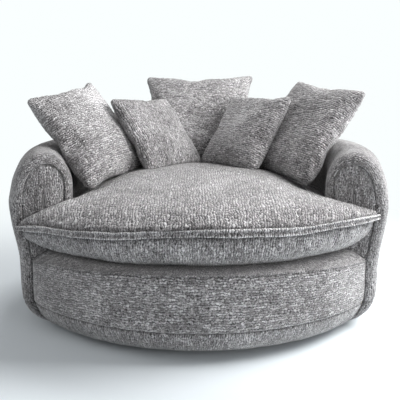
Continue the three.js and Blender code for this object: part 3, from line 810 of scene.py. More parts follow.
@dataclass(frozen=True)
class Horseshoe:
    """Plan line and section of the back and arms.

    Attributes:
        path_radius: Radius of the centreline round the back.
        arm_radius: Radius of the centreline along an arm.
        arm_sweep: Turn of an arm's arc, from the side to its face.
        wall_in: Distance of the inner wall from the centreline.
        belly_out: Greatest distance of the outside from the centreline.
        waist_out: The same at the waist.
        foot_in: Distance of the foot's start from the centreline.
        floor_gap: Height of the fabric above the floor.
        foot_top: Top of the curved foot.
        waist_top: Level where the belly starts.
        belly_height: Level of the widest point.
        top: Height of the back and arms.
        inner_foot: Level where the cover ends inside.
        drum_radius: Radius of the drum's front.
        toe_radius: Reach of the foot under an arm's front.
        front_slim: How far the outside is drawn in at the arm faces.
        shoulder_slim: How far it is drawn in at the outer shoulder, round the back.
        face_shoulder_slim: The same at the arm faces.
    """

    path_radius: float = 0.585
    arm_radius: float = 1.075
    arm_sweep: float = math.radians(21.4)
    wall_in: float = 0.105
    belly_out: float = 0.115
    waist_out: float = 0.088
    foot_in: float = 0.008
    floor_gap: float = 0.018
    foot_top: float = 0.133
    waist_top: float = 0.200
    belly_height: float = 0.430
    top: float = 0.590
    inner_foot: float = 0.252
    drum_radius: float = 0.685
    toe_radius: float = 0.612
    front_slim: float = 0.017
    shoulder_slim: float = 0.030
    face_shoulder_slim: float = 0.020

    def point(self, turn: float, out: float, forward: float = 0.0) -> Vector:
        """Returns the plan place on the horseshoe.

        Args:
            turn: 0 to half a turn round the back, beyond that on an arm.
            out: Distance outwards from the centreline.
            forward: Distance along the path towards the nearer arm face.

        Returns:
            The place, at height 0.
        """
        side = -1.0 if turn > math.pi / 2 else 1.0
        angle = turn if side > 0 else math.pi - turn
        on_arm = angle < 0
        radius = (self.arm_radius if on_arm else self.path_radius) + out
        centre = self.path_radius - self.arm_radius if on_arm else 0.0
        return Vector((
            side * (centre + radius * math.cos(angle) + forward * math.sin(angle)),
            radius * math.sin(angle) - forward * math.cos(angle), 0.0))

    def tuck(self, turn: float, forward: float, up: float) -> float:
        """Returns how far the foot is drawn in under an arm's front.

        Args:
            turn: Turn of the place on the horseshoe.
            forward: Its distance along the path towards the nearer arm face.
            up: Its height.

        Returns:
            A distance, 0 away from the arms' fronts and above the foot.
        """
        beyond = self.point(turn, self.foot_in, forward).length - self.toe_radius
        fall = clamp((self.foot_top - up) / (self.foot_top - self.floor_gap), 0.0, 1.0)
        return max(0.0, beyond) * (1 - math.sqrt(1 - fall * fall))

    @property
    def face_distance(self) -> float:
        """Distance of an arm face's plane from the origin."""
        face = self.point(-self.arm_sweep, 0.0)
        return -face.x * math.sin(self.arm_sweep) - face.y * math.cos(self.arm_sweep)

    def face_normal(self, side: float) -> Vector:
        """Returns the way that the arm face on a side looks."""
        return Vector((-side * math.sin(self.arm_sweep), -math.cos(self.arm_sweep), 0.0))

    def front_bearing(self, radius: float, share: float, clearance: float = 0.0) -> float:
        """Returns the bearing on the drum's front, share -1 at the left face, 1 at the right."""
        face = -self.arm_sweep - math.asin((self.face_distance + clearance) / radius)
        return -math.pi / 2 + share * (face + math.pi / 2)

    def drum_edge(self, level: float) -> float:
        """Returns how far out along an arm face the drum's foot meets it.

        Args:
            level: Height of the place.

        Returns:
            The distance from the centreline.
        """
        rise = (self.foot_top - level) / (self.foot_top - self.floor_gap)
        turn = math.acos(clamp(rise, 0.0, 1.0))
        radius = self.drum_radius - (self.waist_out - self.foot_in) * (1 - math.sin(turn))
        face = self.point(-self.arm_sweep, 0.0)
        middle = face.x * math.cos(self.arm_sweep) - face.y * math.sin(self.arm_sweep)
        return math.sqrt(radius ** 2 - self.face_distance ** 2) - middle

    def outline(self, inset: float = 0.0) -> list[tuple[float, float]]:
        """Returns the section from the foot's lip over the roll to the inner foot.

        Args:
            inset: How far the sides and the top are drawn in.

        Returns:
            Points as distance out from the centreline and height.
        """
        rise = self.foot_top - self.floor_gap
        reach = self.waist_out - self.foot_in - inset
        lip = [(self.foot_in + back, self.floor_gap) for back in LIPS]
        foot = [(self.foot_in + reach * math.sin(t), self.foot_top - rise * math.cos(t))
                for t in foot_turns()]
        belly = [(self.waist_out - inset
                  + (self.belly_out - self.waist_out) * (1 - math.cos(math.pi * s)) / 2,
                  self.waist_top + (self.belly_height - self.waist_top) * s)
                 for s in spread(0, 1, 14)]
        lower = [(self.waist_out - inset, level)
                 for level in spread(self.foot_top, self.waist_top, 4)[1:-1]]
        radius = (self.belly_out + self.wall_in) / 2
        middle = (self.belly_out - self.wall_in) / 2
        height = self.top - radius
        roll = [(middle + (radius - inset) * math.cos(t), height + (radius - inset) * math.sin(t))
                for t in spread(0, math.pi, 28)]
        wall = [(-self.wall_in + inset, level)
                for level in spread(height, self.inner_foot, 12)[1:]]
        return [*lip, *foot, *lower, *belly, *roll, *wall]

    def from_centre(self, point: Vector) -> tuple[Vector, float]:
        """Returns a place from the centre of the arc beside it, and that arc's radius."""
        side = -1.0 if point.x < 0 else 1.0
        radius = self.path_radius if point.y >= 0 else self.arm_radius
        centre = Vector((side * (self.path_radius - radius), 0.0, 0.0))
        return Vector((point.x, point.y, 0.0)) - centre, radius

    def slimmed(self, point: Vector) -> Vector:
        """Returns a place drawn in for the arms' narrower fronts and round shoulders.

        Args:
            point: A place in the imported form.

        Returns:
            The place, moved most on the outside and not at all at the inner wall.
        """
        flat, radius = self.from_centre(point)
        share = clamp((flat.length - radius + self.wall_in) / (self.belly_out + self.wall_in),
                      0.0, 1.0)
        near_face = smooth_step(-point.y, 0.0, 0.32)
        shoulder = self.shoulder_slim + (self.face_shoulder_slim - self.shoulder_slim) * near_face
        reach = self.front_slim * near_face + shoulder * smooth_step(point.z, 0.42, 0.54)
        return point - flat.normalized() * reach * share

    def slim(self, piece: bpy.types.Object) -> None:
        """Draws a whole piece of the back and arms in."""
        for vertex in piece.data.vertices:
            vertex.co = self.slimmed(vertex.co.copy())

    def push_off(self, point: Vector, clearance: float) -> Vector:
        """Returns a place moved off the roll or the inner wall, for what leans on them.

        Args:
            point: The place to move.
            clearance: Gap kept from the fabric.

        Returns:
            The place itself where it is already clear.
        """
        normal = self.face_normal(-1.0 if point.x < 0 else 1.0)
        if point.y < 0 and point.dot(normal) > self.face_distance:
            return point
        flat, radius = self.from_centre(point)
        roll = (self.belly_out + self.wall_in) / 2
        out = flat.length - radius - (self.belly_out - self.wall_in) / 2
        up = point.z - self.top + roll
        if up > 0:
            reach = math.hypot(out, up)
            grow = (roll + clearance) / reach if 0 < reach < roll + clearance else 1.0
            return point + flat.normalized() * out * (grow - 1) + Vector((0, 0, up * (grow - 1)))
        return point - flat.normalized() * max(0.0, out + roll + clearance)

    def push_inside(self, point: Vector, clearance: float, face_clearance: float) -> Vector:
        """Returns a place moved out of the back and arms by the shorter way.

        Args:
            point: The place to move.
            clearance: Gap kept from the inner wall.
            face_clearance: Gap kept from the arm faces.

        Returns:
            The place itself where it is already clear.
        """
        flat, radius = self.from_centre(point)
        beyond = flat.length - (radius - self.wall_in - clearance)
        if beyond <= 0:
            return point
        normal = self.face_normal(-1.0 if point.x < 0 else 1.0)
        behind = self.face_distance + face_clearance - point.dot(normal)
        if point.y < 0 and behind <= 0:
            return point
        if point.y < 0 and behind < beyond:
            return point + normal * behind
        return point - flat.normalized() * beyond


def foot_turns() -> list[float]:
    """Returns the foot's curve as turns, with close steps round the bottom band's seam."""
    even = [t for t in spread(0, math.pi / 2, 12) if abs(t - BAND_SEAM) > math.radians(6)]
    close = [BAND_SEAM + math.radians(step) for step in (-5, -3, -1.6, -0.7, 0, 0.7, 1.6, 3, 5)]
    return sorted([*even, *close])


PLAN = Horseshoe()


# ---------------------------------------------------------------- upholstery


@dataclass
class WrapCover:
    """Fabric over the horseshoe: outside, roll and inner wall, turned in at both arm faces.

    Attributes:
        border_round: Radius of the border round an arm face.
        edge: Inset of the border's edge, which is turned in behind the facing.
        back_steps: Steps round the back.
        arm_steps: Steps along an arm.
        seam_turns: Turns where the outside has an upright seam.
        apron_top: Height of the cloth that closes an arm's foot.
        inner_rows: Rows at the section's inner end, which the upright seams don't reach.
        outer_rows: Rows at the section's outer end, in which the band's seam lies.
        lip_rows: Rows of the lip, which stays flat.
    """

    border_round: float = 0.035
    edge: float = 0.0355
    back_steps: int = 84
    arm_steps: int = 18
    seam_turns: tuple[float, ...] = (math.radians(38), math.radians(142))
    apron_top: float = 0.044
    inner_rows: int = 24
    outer_rows: int = 30
    lip_rows: int = 4

    def stations(self) -> list[tuple[float, float, float]]:
        """Returns turn, forward place and inset all along the horseshoe."""
        right, left = -PLAN.arm_sweep, math.pi + PLAN.arm_sweep
        bends = spread(math.pi / 2, 0, 9)
        bent = [(self.border_round * (math.sin(b) - 1), self.border_round * (1 - math.cos(b)))
                for b in bends]
        bent = [(-0.0135, self.edge), (-0.0035, self.edge), *bent]
        close = [seam + step for seam in self.seam_turns
                 for step in (-0.018, -0.009, -0.0045, 0, 0.0045, 0.009, 0.018)]
        back = [t for t in spread(0, math.pi, self.back_steps)
                if all(abs(t - seam) > 0.026 for seam in self.seam_turns)]
        first = (self.border_round + 0.012) / PLAN.arm_radius
        turns = sorted([*spread(right + first, 0, self.arm_steps)[:-1], *back, *close,
                        *spread(math.pi, left - first, self.arm_steps)[1:]])
        return [*((right, *b) for b in bent), *((t, 0.0, 0.0) for t in turns),
                *((left, *b) for b in reversed(bent))]

    def build(self, cloth: bpy.types.Material) -> bpy.types.Object:
        """Makes the cover and dresses it.

        Args:
            cloth: The upholstery fabric.

        Returns:
            The finished piece.
        """
        stations = self.stations()
        outlines = [PLAN.outline(inset) for _, _, inset in stations]
        line = [Vector((out, up, 0)) for out, up in PLAN.outline()]
        section = running_lengths(line)
        middle = [PLAN.point(turn, -inset, forward) for turn, forward, inset in stations]
        path = running_lengths(middle)
        seam_level = PLAN.foot_top - (PLAN.foot_top - PLAN.floor_gap) * math.cos(BAND_SEAM)
        seam_row = min(range(self.outer_rows + 1), key=lambda j: abs(line[j].y - seam_level))

        def place(i: int, j: int) -> Vector:
            """Returns a point's place."""
            turn, forward, inset = stations[i]
            out, up = outlines[i][j]
            out -= PLAN.tuck(turn, forward, up)
            turned_in = min(i, len(stations) - 1 - i)
            if turned_in < 2 and up < self.apron_top:
                return self.apron(turn, out, up, 0.5 * (2 - turned_in))
            ahead, behind = outlines[i][min(j + 1, len(line) - 1)], outlines[i][max(j - 1, 0)]
            slope = Vector((ahead[1] - behind[1], behind[0] - ahead[0])).normalized()
            dip = seam_dip(section[j] - section[seam_row], SEAM_WIDTH, SEAM_DEPTH)
            if j < len(line) - self.inner_rows:
                dip += sum(seam_dip((turn - seam) * PLAN.path_radius, SEAM_WIDTH, 0.0030)
                           for seam in self.seam_turns)
            spot = PLAN.point(turn, out, forward) + Vector((0, 0, up))
            soft = ripple(spot, 0.16, 0.0022) + ripple(spot, 0.055, 0.0007, 4.0)
            push = 0.0
            if j > self.lip_rows:
                push = (0.002 + soft - dip) * (1 - smooth_step(inset, 0.008, 0.030))
            if out < 0 and 0.2 < up < 0.5:
                push = min(push, 0.001)
            lifted = Vector((0, 0, up + slope.y * push))
            return PLAN.point(turn, out + slope.x * push, forward) + lifted

        def fold(i: int, j: int) -> float:
            """Returns the painted shade at a point, in the seams' grooves and on the border's edge
            turned in behind the facing.
            """
            turn, _, inset = stations[i]
            deep = seam_shade(section[j] - section[seam_row])
            if j < len(line) - self.inner_rows:
                deep += sum(seam_shade((turn - seam) * PLAN.path_radius)
                            for seam in self.seam_turns)
            return clamp(0.7 * deep + 0.6 * smooth_step(inset, 0.034, self.edge), 0.0, 1.0)

        piece = grid_piece(
            "horseshoe_cover", len(stations) - 1, len(line) - 1, place,
            lambda i, j, row: (section[j], path[i]), fold)
        face_out(piece, self.outward)
        apply_modifier(piece, "SOLIDIFY", thickness=COVER_THICK, offset=-1.0)
        PLAN.slim(piece)
        dress(piece, cloth, "chair", nodes=["wrap_cover"])
        return piece

    @staticmethod
    def apron(turn: float, out: float, up: float, share: float) -> Vector:
        """Returns a place on the cloth that closes an arm's foot towards the drum.

        Args:
            turn: The arm face's end of the horseshoe.
            out: Distance of the border's edge from the centreline.
            up: Height.
            share: 0 at the border's edge, 1 at the drum.

        Returns:
            The place, a little in front of the arm face.
        """
        inner = min(out, PLAN.drum_edge(up) + 0.003)
        reach = out + (inner - out) * share
        return PLAN.point(turn, reach, 0.0035) + Vector((0, 0, up))

    @staticmethod
    def outward(point: Vector) -> Vector:
        """Returns the way from the horseshoe's middle line to a point."""
        flat = Vector((point.x, point.y, 0.0))
        middle = flat.normalized() * PLAN.path_radius
        return point - Vector((middle.x, middle.y, 0.40))


@dataclass
class BodyFoam:
    """Foam body of the back and arms under their cover.

    Attributes:
        node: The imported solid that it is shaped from.
        margin: How much smaller it is all round.
    """

    node: bpy.types.Object
    margin: float = 0.003

    def build(self, foam: bpy.types.Material) -> bpy.types.Object:
        """Makes the foam, drawn in as its cover is, and dresses it.

        Args:
            foam: The upholstery foam.

        Returns:
            The finished piece.
        """
        only(self.node)
        bpy.ops.object.duplicate()
        piece = bpy.context.object
        piece.name = piece.data.name = "horseshoe_foam"
        merge_doubles(piece)
        shift_out(piece, lambda _: -self.margin)
        edit_all(piece, lambda: bpy.ops.mesh.subdivide(number_cuts=2))
        PLAN.slim(piece)
        dress(piece, foam, "chair", nodes=["wrap_padding"])
        return piece


@dataclass
class ArmFacing:
    """Padded panel let into the front of an arm, inside its rounded border.

    Attributes:
        side: 1 on the right, -1 on the left.
        edge: Inset of the panel from the arm's own outline.
        depth: Thickness of the panel.
        crown: How far its middle stands forward above the deck.
        low: Height of the panel's lower edge.
        rings: Shares of the way from the rim to the middle, the turned-back edge first.
    """

    side: int
    edge: float = 0.0360
    depth: float = 0.014
    crown: float = 0.008
    low: float = 0.0402
    rings: tuple[float, ...] = (
        0.06, 0.0, 0.0, 0.01, 0.03, 0.06, 0.10, 0.16, 0.25, 0.36, 0.50, 0.66, 0.82, 1.0)

    def rim(self) -> list[tuple[float, float]]:
        """Returns the panel's outline, from its outer foot over the top to its inner foot."""
        arch = [p for p in PLAN.outline(self.edge)[3:] if p[1] > self.low]
        arch = [(out - PLAN.tuck(-PLAN.arm_sweep, 0.0, up), up) for out, up in arch
                if up > PLAN.inner_foot or out > 0]
        foot = arch[0][0] - 0.004
        inner = [(-PLAN.wall_in + self.edge, level)
                 for level in spread(PLAN.inner_foot, self.low, 14)[1:]]
        sole = [(x, self.low) for x in spread(-PLAN.wall_in + self.edge, foot, 8)[1:]]
        return [(foot, self.low), *arch, *inner, *sole]

    def build(self, cloth: bpy.types.Material) -> bpy.types.Object:
        """Makes the panel and dresses it.

        Args:
            cloth: The upholstery fabric.

        Returns:
            The finished piece.
        """
        rim = self.rim()
        turn = -PLAN.arm_sweep if self.side > 0 else math.pi + PLAN.arm_sweep
        middle = (PLAN.belly_out - PLAN.wall_in) / 2

        def place(i: int, j: int) -> Vector:
            """Returns a point's place."""
            out, up = rim[i]
            share = self.rings[j]
            target_up = clamp(up, self.low + 0.09, PLAN.top - 0.115)
            flat_out = out + (middle - out) * share
            flat_up = up + (target_up - up) * share
            if j < 2:
                forward = -self.depth
            else:
                round_off = 0.004 * (1 - smooth_step(share, 0.0, 0.12))
                crown = self.crown * smooth_step(share, 0.0, 0.9)
                forward = crown * smooth_step(flat_up, 0.30, 0.38) - round_off
            return PLAN.point(turn, flat_out, forward) + Vector((0, 0, flat_up))

        def weave(i: int, j: int, row: int) -> tuple[float, float]:
            """Returns a point's place on the cloth."""
            spot = place(i, j)
            out = Vector((math.cos(turn), math.sin(turn), 0))
            return spot.z, (spot - PLAN.point(turn, 0.0)).dot(out)

        def fold(i: int, j: int) -> float:
            """Returns the painted shade at a point, strong on the turned-back edge and lighter in
            the border's groove round the panel.
            """
            return 0.35 * (1 - smooth_step(self.rings[j], 0.0, 0.03)) if j > 1 else 0.8

        side = "right" if self.side > 0 else "left"
        piece = grid_piece(
            f"arm_facing_panel_{side}", len(rim) - 1, len(self.rings) - 1, place, weave, fold)
        normal = PLAN.face_normal(self.side)
        back = PLAN.face_distance - 0.012
        merge_doubles(piece)
        edit_all(piece, lambda: bpy.ops.mesh.select_all(action="DESELECT"),
                 bpy.ops.mesh.select_non_manifold, bpy.ops.mesh.edge_face_add)
        face_out(piece, lambda point: normal if point.dot(normal) > back else -normal)
        subdivide(piece)
        PLAN.slim(piece)
        dress(piece, cloth, "chair", nodes=[f"arm_facing_{side}"])
        return piece


@dataclass
class DrumFront:
    """Curved front panel of the base with its bottom band, and the deck behind its top seam.

    Attributes:
        radius: Radius of the drum's front.
        deck_top: Height of the deck.
        rim_width: Width of the deck's border that falls to the seam.
        seam_drop: Fall of the seam in the middle.
        corner_drop: Further fall of the seam at the corners.
        face_gap: Gap between the panel's ends and the arm faces.
        deck_gap: Gap round the deck.
        panel_thick: Thickness of the panel's cloth.
        deck_thick: Thickness of the deck's cloth.
        rings: Shares of the way from the deck's middle to its rim, the rim first.
        columns: Faces across the panel.
    """

    radius: float = 0.685
    deck_top: float = 0.278
    rim_width: float = 0.085
    seam_drop: float = 0.003
    corner_drop: float = 0.034
    face_gap: float = 0.0003
    deck_gap: float = 0.0012
    panel_thick: float = 0.0022
    deck_thick: float = 0.002
    rings: tuple[float, ...] = (
        1.0, 0.994, 0.985, 0.97, 0.945, 0.91, 0.87, 0.80, 0.70, 0.55, 0.38, 0.2, 0.0)
    columns: int = 110

    def deck_height(self, radius: float, bearing: float) -> float:
        """Returns the deck's height, which falls to the front seam and more at its corners.

        Args:
            radius: The place's distance from the swivel axis.
            bearing: Its bearing.

        Returns:
            The height there.
        """
        corner = PLAN.front_bearing(self.radius, 1.0, self.face_gap) + math.pi / 2
        share = (bearing + math.pi / 2) / corner
        rim = clamp((radius - self.radius + self.rim_width) / self.rim_width, 0.0, 1.0)
        fall = rim / 2 if rim < 0.5 else (3 * rim - 1) / 2
        return self.deck_top - (self.seam_drop + self.corner_drop * min(share * share, 1.0)) * fall

    def build_panel(self, cloth: bpy.types.Material) -> bpy.types.Object:
        """Makes the front panel and its bottom band.

        Args:
            cloth: The upholstery fabric.

        Returns:
            The finished piece.
        """
        foot_radius = self.radius - (PLAN.waist_out - PLAN.foot_in)
        rise = PLAN.foot_top - PLAN.floor_gap
        turns = foot_turns()
        shares = spread(0, 1, 14)[1:]
        seam_row = len(LIPS) + turns.index(BAND_SEAM)
        rows = len(LIPS) + len(turns) + len(shares)
        steps = spread(-1, 1, self.columns)

        def profile(share: float, j: int) -> tuple[float, float]:
            """Returns a row's radius and height at a share of the way round the front."""
            if j < len(LIPS):
                return foot_radius + LIPS[j], PLAN.floor_gap
            if j < len(LIPS) + len(turns):
                t = turns[j - len(LIPS)]
                return (foot_radius + (self.radius - foot_radius) * math.sin(t),
                        PLAN.foot_top - rise * math.cos(t))
            bearing = PLAN.front_bearing(self.radius, share, self.face_gap)
            top = self.deck_height(self.radius, bearing) - 0.0014
            up = shares[j - len(LIPS) - len(turns)]
            return self.radius, PLAN.foot_top + (top - PLAN.foot_top) * up

        line = [Vector((*profile(0.0, j), 0)) for j in range(rows)]
        section = running_lengths(line)

        def place(i: int, j: int) -> Vector:
            """Returns a point's place."""
            share = steps[i]
            radius, up = profile(share, j)
            bearing = PLAN.front_bearing(radius, share, self.face_gap)
            spot = Vector((radius * math.cos(bearing), radius * math.sin(bearing), up))
            dip = seam_dip(section[j] - section[seam_row], SEAM_WIDTH, SEAM_DEPTH)
            from_top = section[-1] - section[j]
            rolled = 0.0035 * math.exp(-from_top / 0.007)
            ends = 0.0035 * math.exp(-(1 - abs(share)) * 0.9 / 0.010)
            soft = ripple(spot, 0.14, 0.0020) + ripple(spot, 0.05, 0.0008, 9.0)
            if j <= seam_row:
                soft += 0.0015 * math.sin(bearing * 41) * smooth_step(section[j], 0.0, 0.10)
            push = (0.0025 + soft - dip) * smooth_step(section[j], 0.02, 0.06) - rolled - ends
            across = Vector((math.cos(bearing), math.sin(bearing), 0.0))
            return spot + across * push

        def weave(i: int, j: int, row: int) -> tuple[float, float]:
            """Returns a point's place on the cloth, whose pile lies upright on the band."""
            around = (steps[i] + 1) * 0.72
            return (section[j], around) if row < seam_row else (around, section[j])

        def fold(i: int, j: int) -> float:
            """Returns the painted shade at a point, in the band's seam, under the top seam and at
            the panel's ends beside the arm faces.
            """
            deep = 0.7 * seam_shade(section[j] - section[seam_row])
            deep += 0.8 * math.exp(-(section[-1] - section[j]) / 0.005)
            return clamp(deep + 0.8 * math.exp(-(1 - abs(steps[i])) * 0.9 / 0.006), 0.0, 1.0)

        piece = grid_piece("drum_front_panel", self.columns, rows - 1, place, weave, fold)
        face_out(piece, lambda point: Vector((point.x, point.y, 0.0)))
        apply_modifier(piece, "SOLIDIFY", thickness=self.panel_thick, offset=-1.0)
        dress(piece, cloth, "chair", nodes=["front_cover"])
        return piece

    def deck_rim(self) -> list[Vector]:
        """Returns the deck's plan outline: the front seam, both arm faces and the inner wall."""
        gap = self.deck_gap
        front = [PLAN.front_bearing(self.radius, share, gap) for share in spread(-1, 1, 96)]
        reach = self.radius + gap
        points = [Vector((reach * math.cos(b), reach * math.sin(b), 0)) for b in front]
        right, left = -PLAN.arm_sweep, math.pi + PLAN.arm_sweep
        inner = -PLAN.wall_in - gap
        corners = (PLAN.point(right, inner, gap), PLAN.point(left, inner, gap))
        right_face = [points[-1].lerp(corners[0], share) for share in spread(0, 1, 10)[1:]]
        left_face = [corners[1].lerp(points[0], share) for share in spread(0, 1, 10)[:-1]]
        back = [PLAN.point(turn, inner) for turn in spread(right, left, 120)[1:-1]]
        return [*points, *right_face, *back, *left_face, points[0].copy()]

    def build_deck(self, cloth: bpy.types.Material) -> bpy.types.Object:
        """Makes the deck's cover.

        Args:
            cloth: The upholstery fabric.

        Returns:
            The finished piece.
        """
        rim = self.deck_rim()
        centre = Vector((0.0, -0.30, 0.0))
        around = running_lengths(rim)

        def place(i: int, j: int) -> Vector:
            """Returns a point's place."""
            spot = centre.lerp(rim[i], self.rings[j])
            radius, bearing = spot.length, math.atan2(spot.y, spot.x)
            if bearing > math.pi / 2:
                bearing -= 2 * math.pi
            edge = 0.0020 * math.exp(-(rim[i] - spot).length / 0.006)
            soft = ripple(spot, 0.09, 0.0012) * (1 - self.rings[j])
            up = self.deck_height(radius, bearing) + 0.0004 - edge + soft
            return Vector((spot.x, spot.y, up))

        piece = grid_piece(
            "deck_top", len(rim) - 1, len(self.rings) - 1, place,
            lambda i, j, row: (self.rings[j] * 0.6, around[i] * max(self.rings[row], 0.3)))
        merge_doubles(piece)
        face_out(piece, lambda point: Vector((0, 0, 1)))
        apply_modifier(piece, "SOLIDIFY", thickness=self.deck_thick, offset=-1.0)
        dress(piece, cloth, "chair", nodes=["deck_cover"])
        return piece


# ---------------------------------------------------------------- cushions


@dataclass
class SeatCushion:
    """Round loose seat cushion: domed top, narrow stitched strip and full underside.

    Attributes:
        overall_radius: Reach of the strip in front.
        crown_height: Height of the dome.
        flange_height: Height of the strip's upper edge.
        flange_deep: Height of the strip.
        bottom: Level of the flat underside.
        left_drop: Fall of the left ear.
        right_drop: Fall of the right ear.
        waves: Further rise of the strip at shares from the left ear, -1, to the right one, 1.
        left_reach: How far the left ear stands out beyond the strip's circle.
        right_reach: The same of the right ear.
        ear_pinch: How much thinner the top is at the ears.
        ear_tuck: How much further the underside draws in under the ears.
        sink: How much lower the dome lies where the loose cushions press on it.
        side_reach: Reach of the strip between the arms, at the sides.
        back_reach: The same at the back.
        front_columns: Faces round the front.
        back_columns: Faces round the sides and the back.
        strip_shading: Painted shade in the grooves (above 0) and painted highlight on the ridges
            (below 0), for each row from the row before the strip onwards.
        filling: The cushion's stuffing.
    """

    overall_radius: float = 0.700
    crown_height: float = 0.484
    flange_height: float = 0.403
    flange_deep: float = 0.015
    bottom: float = 0.2784
    left_drop: float = 0.050
    right_drop: float = 0.010
    waves: tuple[tuple[float, float], ...] = (
        (-1.0, 0.005), (-0.8, 0.001), (-0.7, -0.006), (-0.6, -0.011), (-0.4, -0.0115),
        (-0.3, -0.007), (-0.2, -0.001), (0.0, 0.0045), (0.2, 0.003), (0.45, -0.002),
        (0.7, 0.003), (1.0, 0.004))
    left_reach: float = 0.042
    right_reach: float = 0.030
    ear_pinch: float = 0.47
    ear_tuck: float = 0.5
    sink: float = 0.040
    side_reach: float = 0.620
    back_reach: float = 0.500
    front_columns: int = 110
    back_columns: int = 90
    strip_shading: tuple[float, ...] = (
        0.25, 0.85, -0.5, -1.0, -1.0, -0.1, 0.35, 0.15, 0.35, -0.1, -1.0, -0.7, 0.7, 1.0, 0.8, 0.25)
    filling: Filling = field(default_factory=lambda: Filling(
        pressure=2.0, stiffness=12.0, bending=0.3, slack=0.02, cap=0.006))

    def columns(self) -> list[tuple[float, float, float, float]]:
        """Returns bearing, reach, flange height and pinch all round, first and last alike."""
        front = [(PLAN.front_bearing(self.overall_radius, s, 0.0),
                  self.overall_radius + (self.left_reach if s < 0 else self.right_reach) * s ** 4,
                  self.flange_height + self.wave(s)
                  - (self.left_drop if s < 0 else self.right_drop) * abs(s) ** 3,
                  s ** 6)
                 for s in spread(-1, 1, self.front_columns)]
        right, left = front[-1][0], front[0][0] + 2 * math.pi
        back = []
        for s in spread(0, 1, self.back_columns)[1:-1]:
            bulge = math.sin(math.pi * s)
            drop = self.flange_height - (front[-1] if s < 0.5 else front[0])[2]
            back.append((right + (left - right) * s,
                         self.side_reach + (self.back_reach - self.side_reach) * bulge ** 0.4,
                         self.flange_height - drop * (1 - bulge), (1 - bulge) ** 6))
        return [*front, *back, (left, *front[0][1:])]

    def wave(self, share: float) -> float:
        """Returns the strip's further rise.

        Args:
            share: Place round the front, -1 at the left ear and 1 at the right one.

        Returns:
            The rise there.
        """
        for (before, low), (after, high) in zip(self.waves, self.waves[1:]):
            if share <= after:
                return low + (high - low) * smooth_step(share, before, after)
        return self.waves[-1][1]

    def sunk(self, x: float, y: float) -> float:
        """Returns how far the loose cushions press the dome down.

        Args:
            x: Place across.
            y: Place from front to back.

        Returns:
            The depth there.
        """
        reach = math.hypot(x, y if y > 0 else 0.3 * y)
        depth = self.sink + 0.005 * clamp(x / 0.2, -1.0, 1.0)
        return depth * smooth_step(reach, 0.20, 0.46) * smooth_step(y, -0.50, -0.10)

    def profile(self, flange: float, pinch: float = 0.0) -> list[tuple[float, float]]:
        """Returns one half section, from the middle of the top to that of the underside.

        Args:
            flange: Height of the strip's upper edge there.
            pinch: 1 at an ear's tip, 0 away from the ears.

        Returns:
            Points as share of the reach and height.
        """
        dome = self.crown_height - flange
        top_shares = [0.0, 0.04, 0.09, *spread(0.14, 0.90, 20), 0.925, 0.945, 0.960, 0.972, 0.981]
        top = [(s, flange + 0.003 + (dome - 0.003) * math.sqrt(max(0.0, 1 - (s / 0.986) ** 2.6))
                * (1 - self.ear_pinch * pinch * s ** 4))
               for s in top_shares]
        slim = 1 - 0.45 * pinch
        low = flange - self.flange_deep * slim
        strip = [(share, edge + rise * slim) for share, edge, rise in (
            (0.9850, flange, -0.0010), (0.9885, flange, 0.0032), (0.9950, flange, 0.0050),
            (1.0000, flange, 0.0024), (0.9985, flange, -0.0020), (0.9940, flange, -0.0042),
            (0.9925, (flange + low) / 2, 0.0), (0.9940, low, 0.0042), (0.9985, low, 0.0020),
            (1.0000, low, -0.0022), (0.9950, low, -0.0048), (0.9870, low, -0.0032),
            (0.9780, low, 0.0026))]
        under = [(0.9740, 0.95), (0.9755, 0.84), (0.9735, 0.71), (0.968, 0.57), (0.958, 0.43),
                 (0.944, 0.29), (0.925, 0.17), (0.898, 0.07), (0.865, 0.01), (0.80, 0.0),
                 (0.65, 0.0), (0.45, 0.0), (0.22, 0.0), (0.0, 0.0)]
        below = [(max(0.0, 1 - (1 - s) * (1 + self.ear_tuck * pinch)) if s > 0.86 else s,
                  self.bottom + (low - self.bottom) * rise) for s, rise in under]
        return [*top, *strip, *below]

    def build(self, cloth: bpy.types.Material) -> bpy.types.Object:
        """Makes the cushion, fills it and dresses it.

        Args:
            cloth: The cushion fabric.

        Returns:
            The finished piece.
        """
        columns = self.columns()
        profiles = [self.profile(flange, pinch) for _, _, flange, pinch in columns]
        count = len(profiles[0])
        strip_start = next(j for j, (s, _) in enumerate(profiles[0]) if s > 0.984)
        strip_end = strip_start + 12
        # Painted shade (above 0) in the strip's grooves and painted highlight (below 0) on its
        # ridges, by row.
        folds = dict(enumerate(self.strip_shading, strip_start - 1))
        middle = [Vector((0.66 * s, up, 0)) for s, up in self.profile(self.flange_height)]
        section = running_lengths(middle)

        def place(i: int, j: int) -> Vector:
            """Returns a point's place."""
            bearing, reach = columns[i][:2]
            share, up = profiles[i][j]
            x, y = share * reach * math.cos(bearing), share * reach * math.sin(bearing)
            if j < strip_start:
                up -= self.sunk(x, y) * (1 - smooth_step(share, 0.92, 0.985))
            return Vector((x, y, up))

        def weave(i: int, j: int, row: int) -> tuple[float, float]:
            """Returns a point's place on the cloth, which is cut flat for the top."""
            bearing = columns[i][0]
            if row < strip_start:
                return section[j] * math.sin(bearing), section[j] * math.cos(bearing)
            return section[j], bearing * 0.70

        piece = grid_piece("round_seat_cushion", len(columns) - 1, count - 1, place, weave,
                           lambda i, j: folds.get(j, 0.0))
        free = [strip_end < j < count - 6 or j < strip_start - 1 for j in range(count)]
        steps = self._rows_of(piece, count)
        self._keep_clear(piece)
        group = piece.vertex_groups.new(name="held")
        for vertex, row in zip(piece.data.vertices, steps):
            wall = PLAN.push_inside(vertex.co.copy(), 0.004, 0.012) != vertex.co
            weight = 1.0 if not free[row] or wall else 0.0
            group.add([vertex.index], weight, "REPLACE")
        merge_doubles(piece)
        face_out(piece, lambda point: point - Vector((0, 0, 0.35)))
        self.filling.fill([piece], pinned="held")
        self._soften(piece)
        subdivide(piece)
        tuft(piece, 0.0016)
        self._keep_clear(piece)
        piece.vertex_groups.clear()
        dress(piece, cloth, "seat", nodes=["seat_cushion"])
        return piece

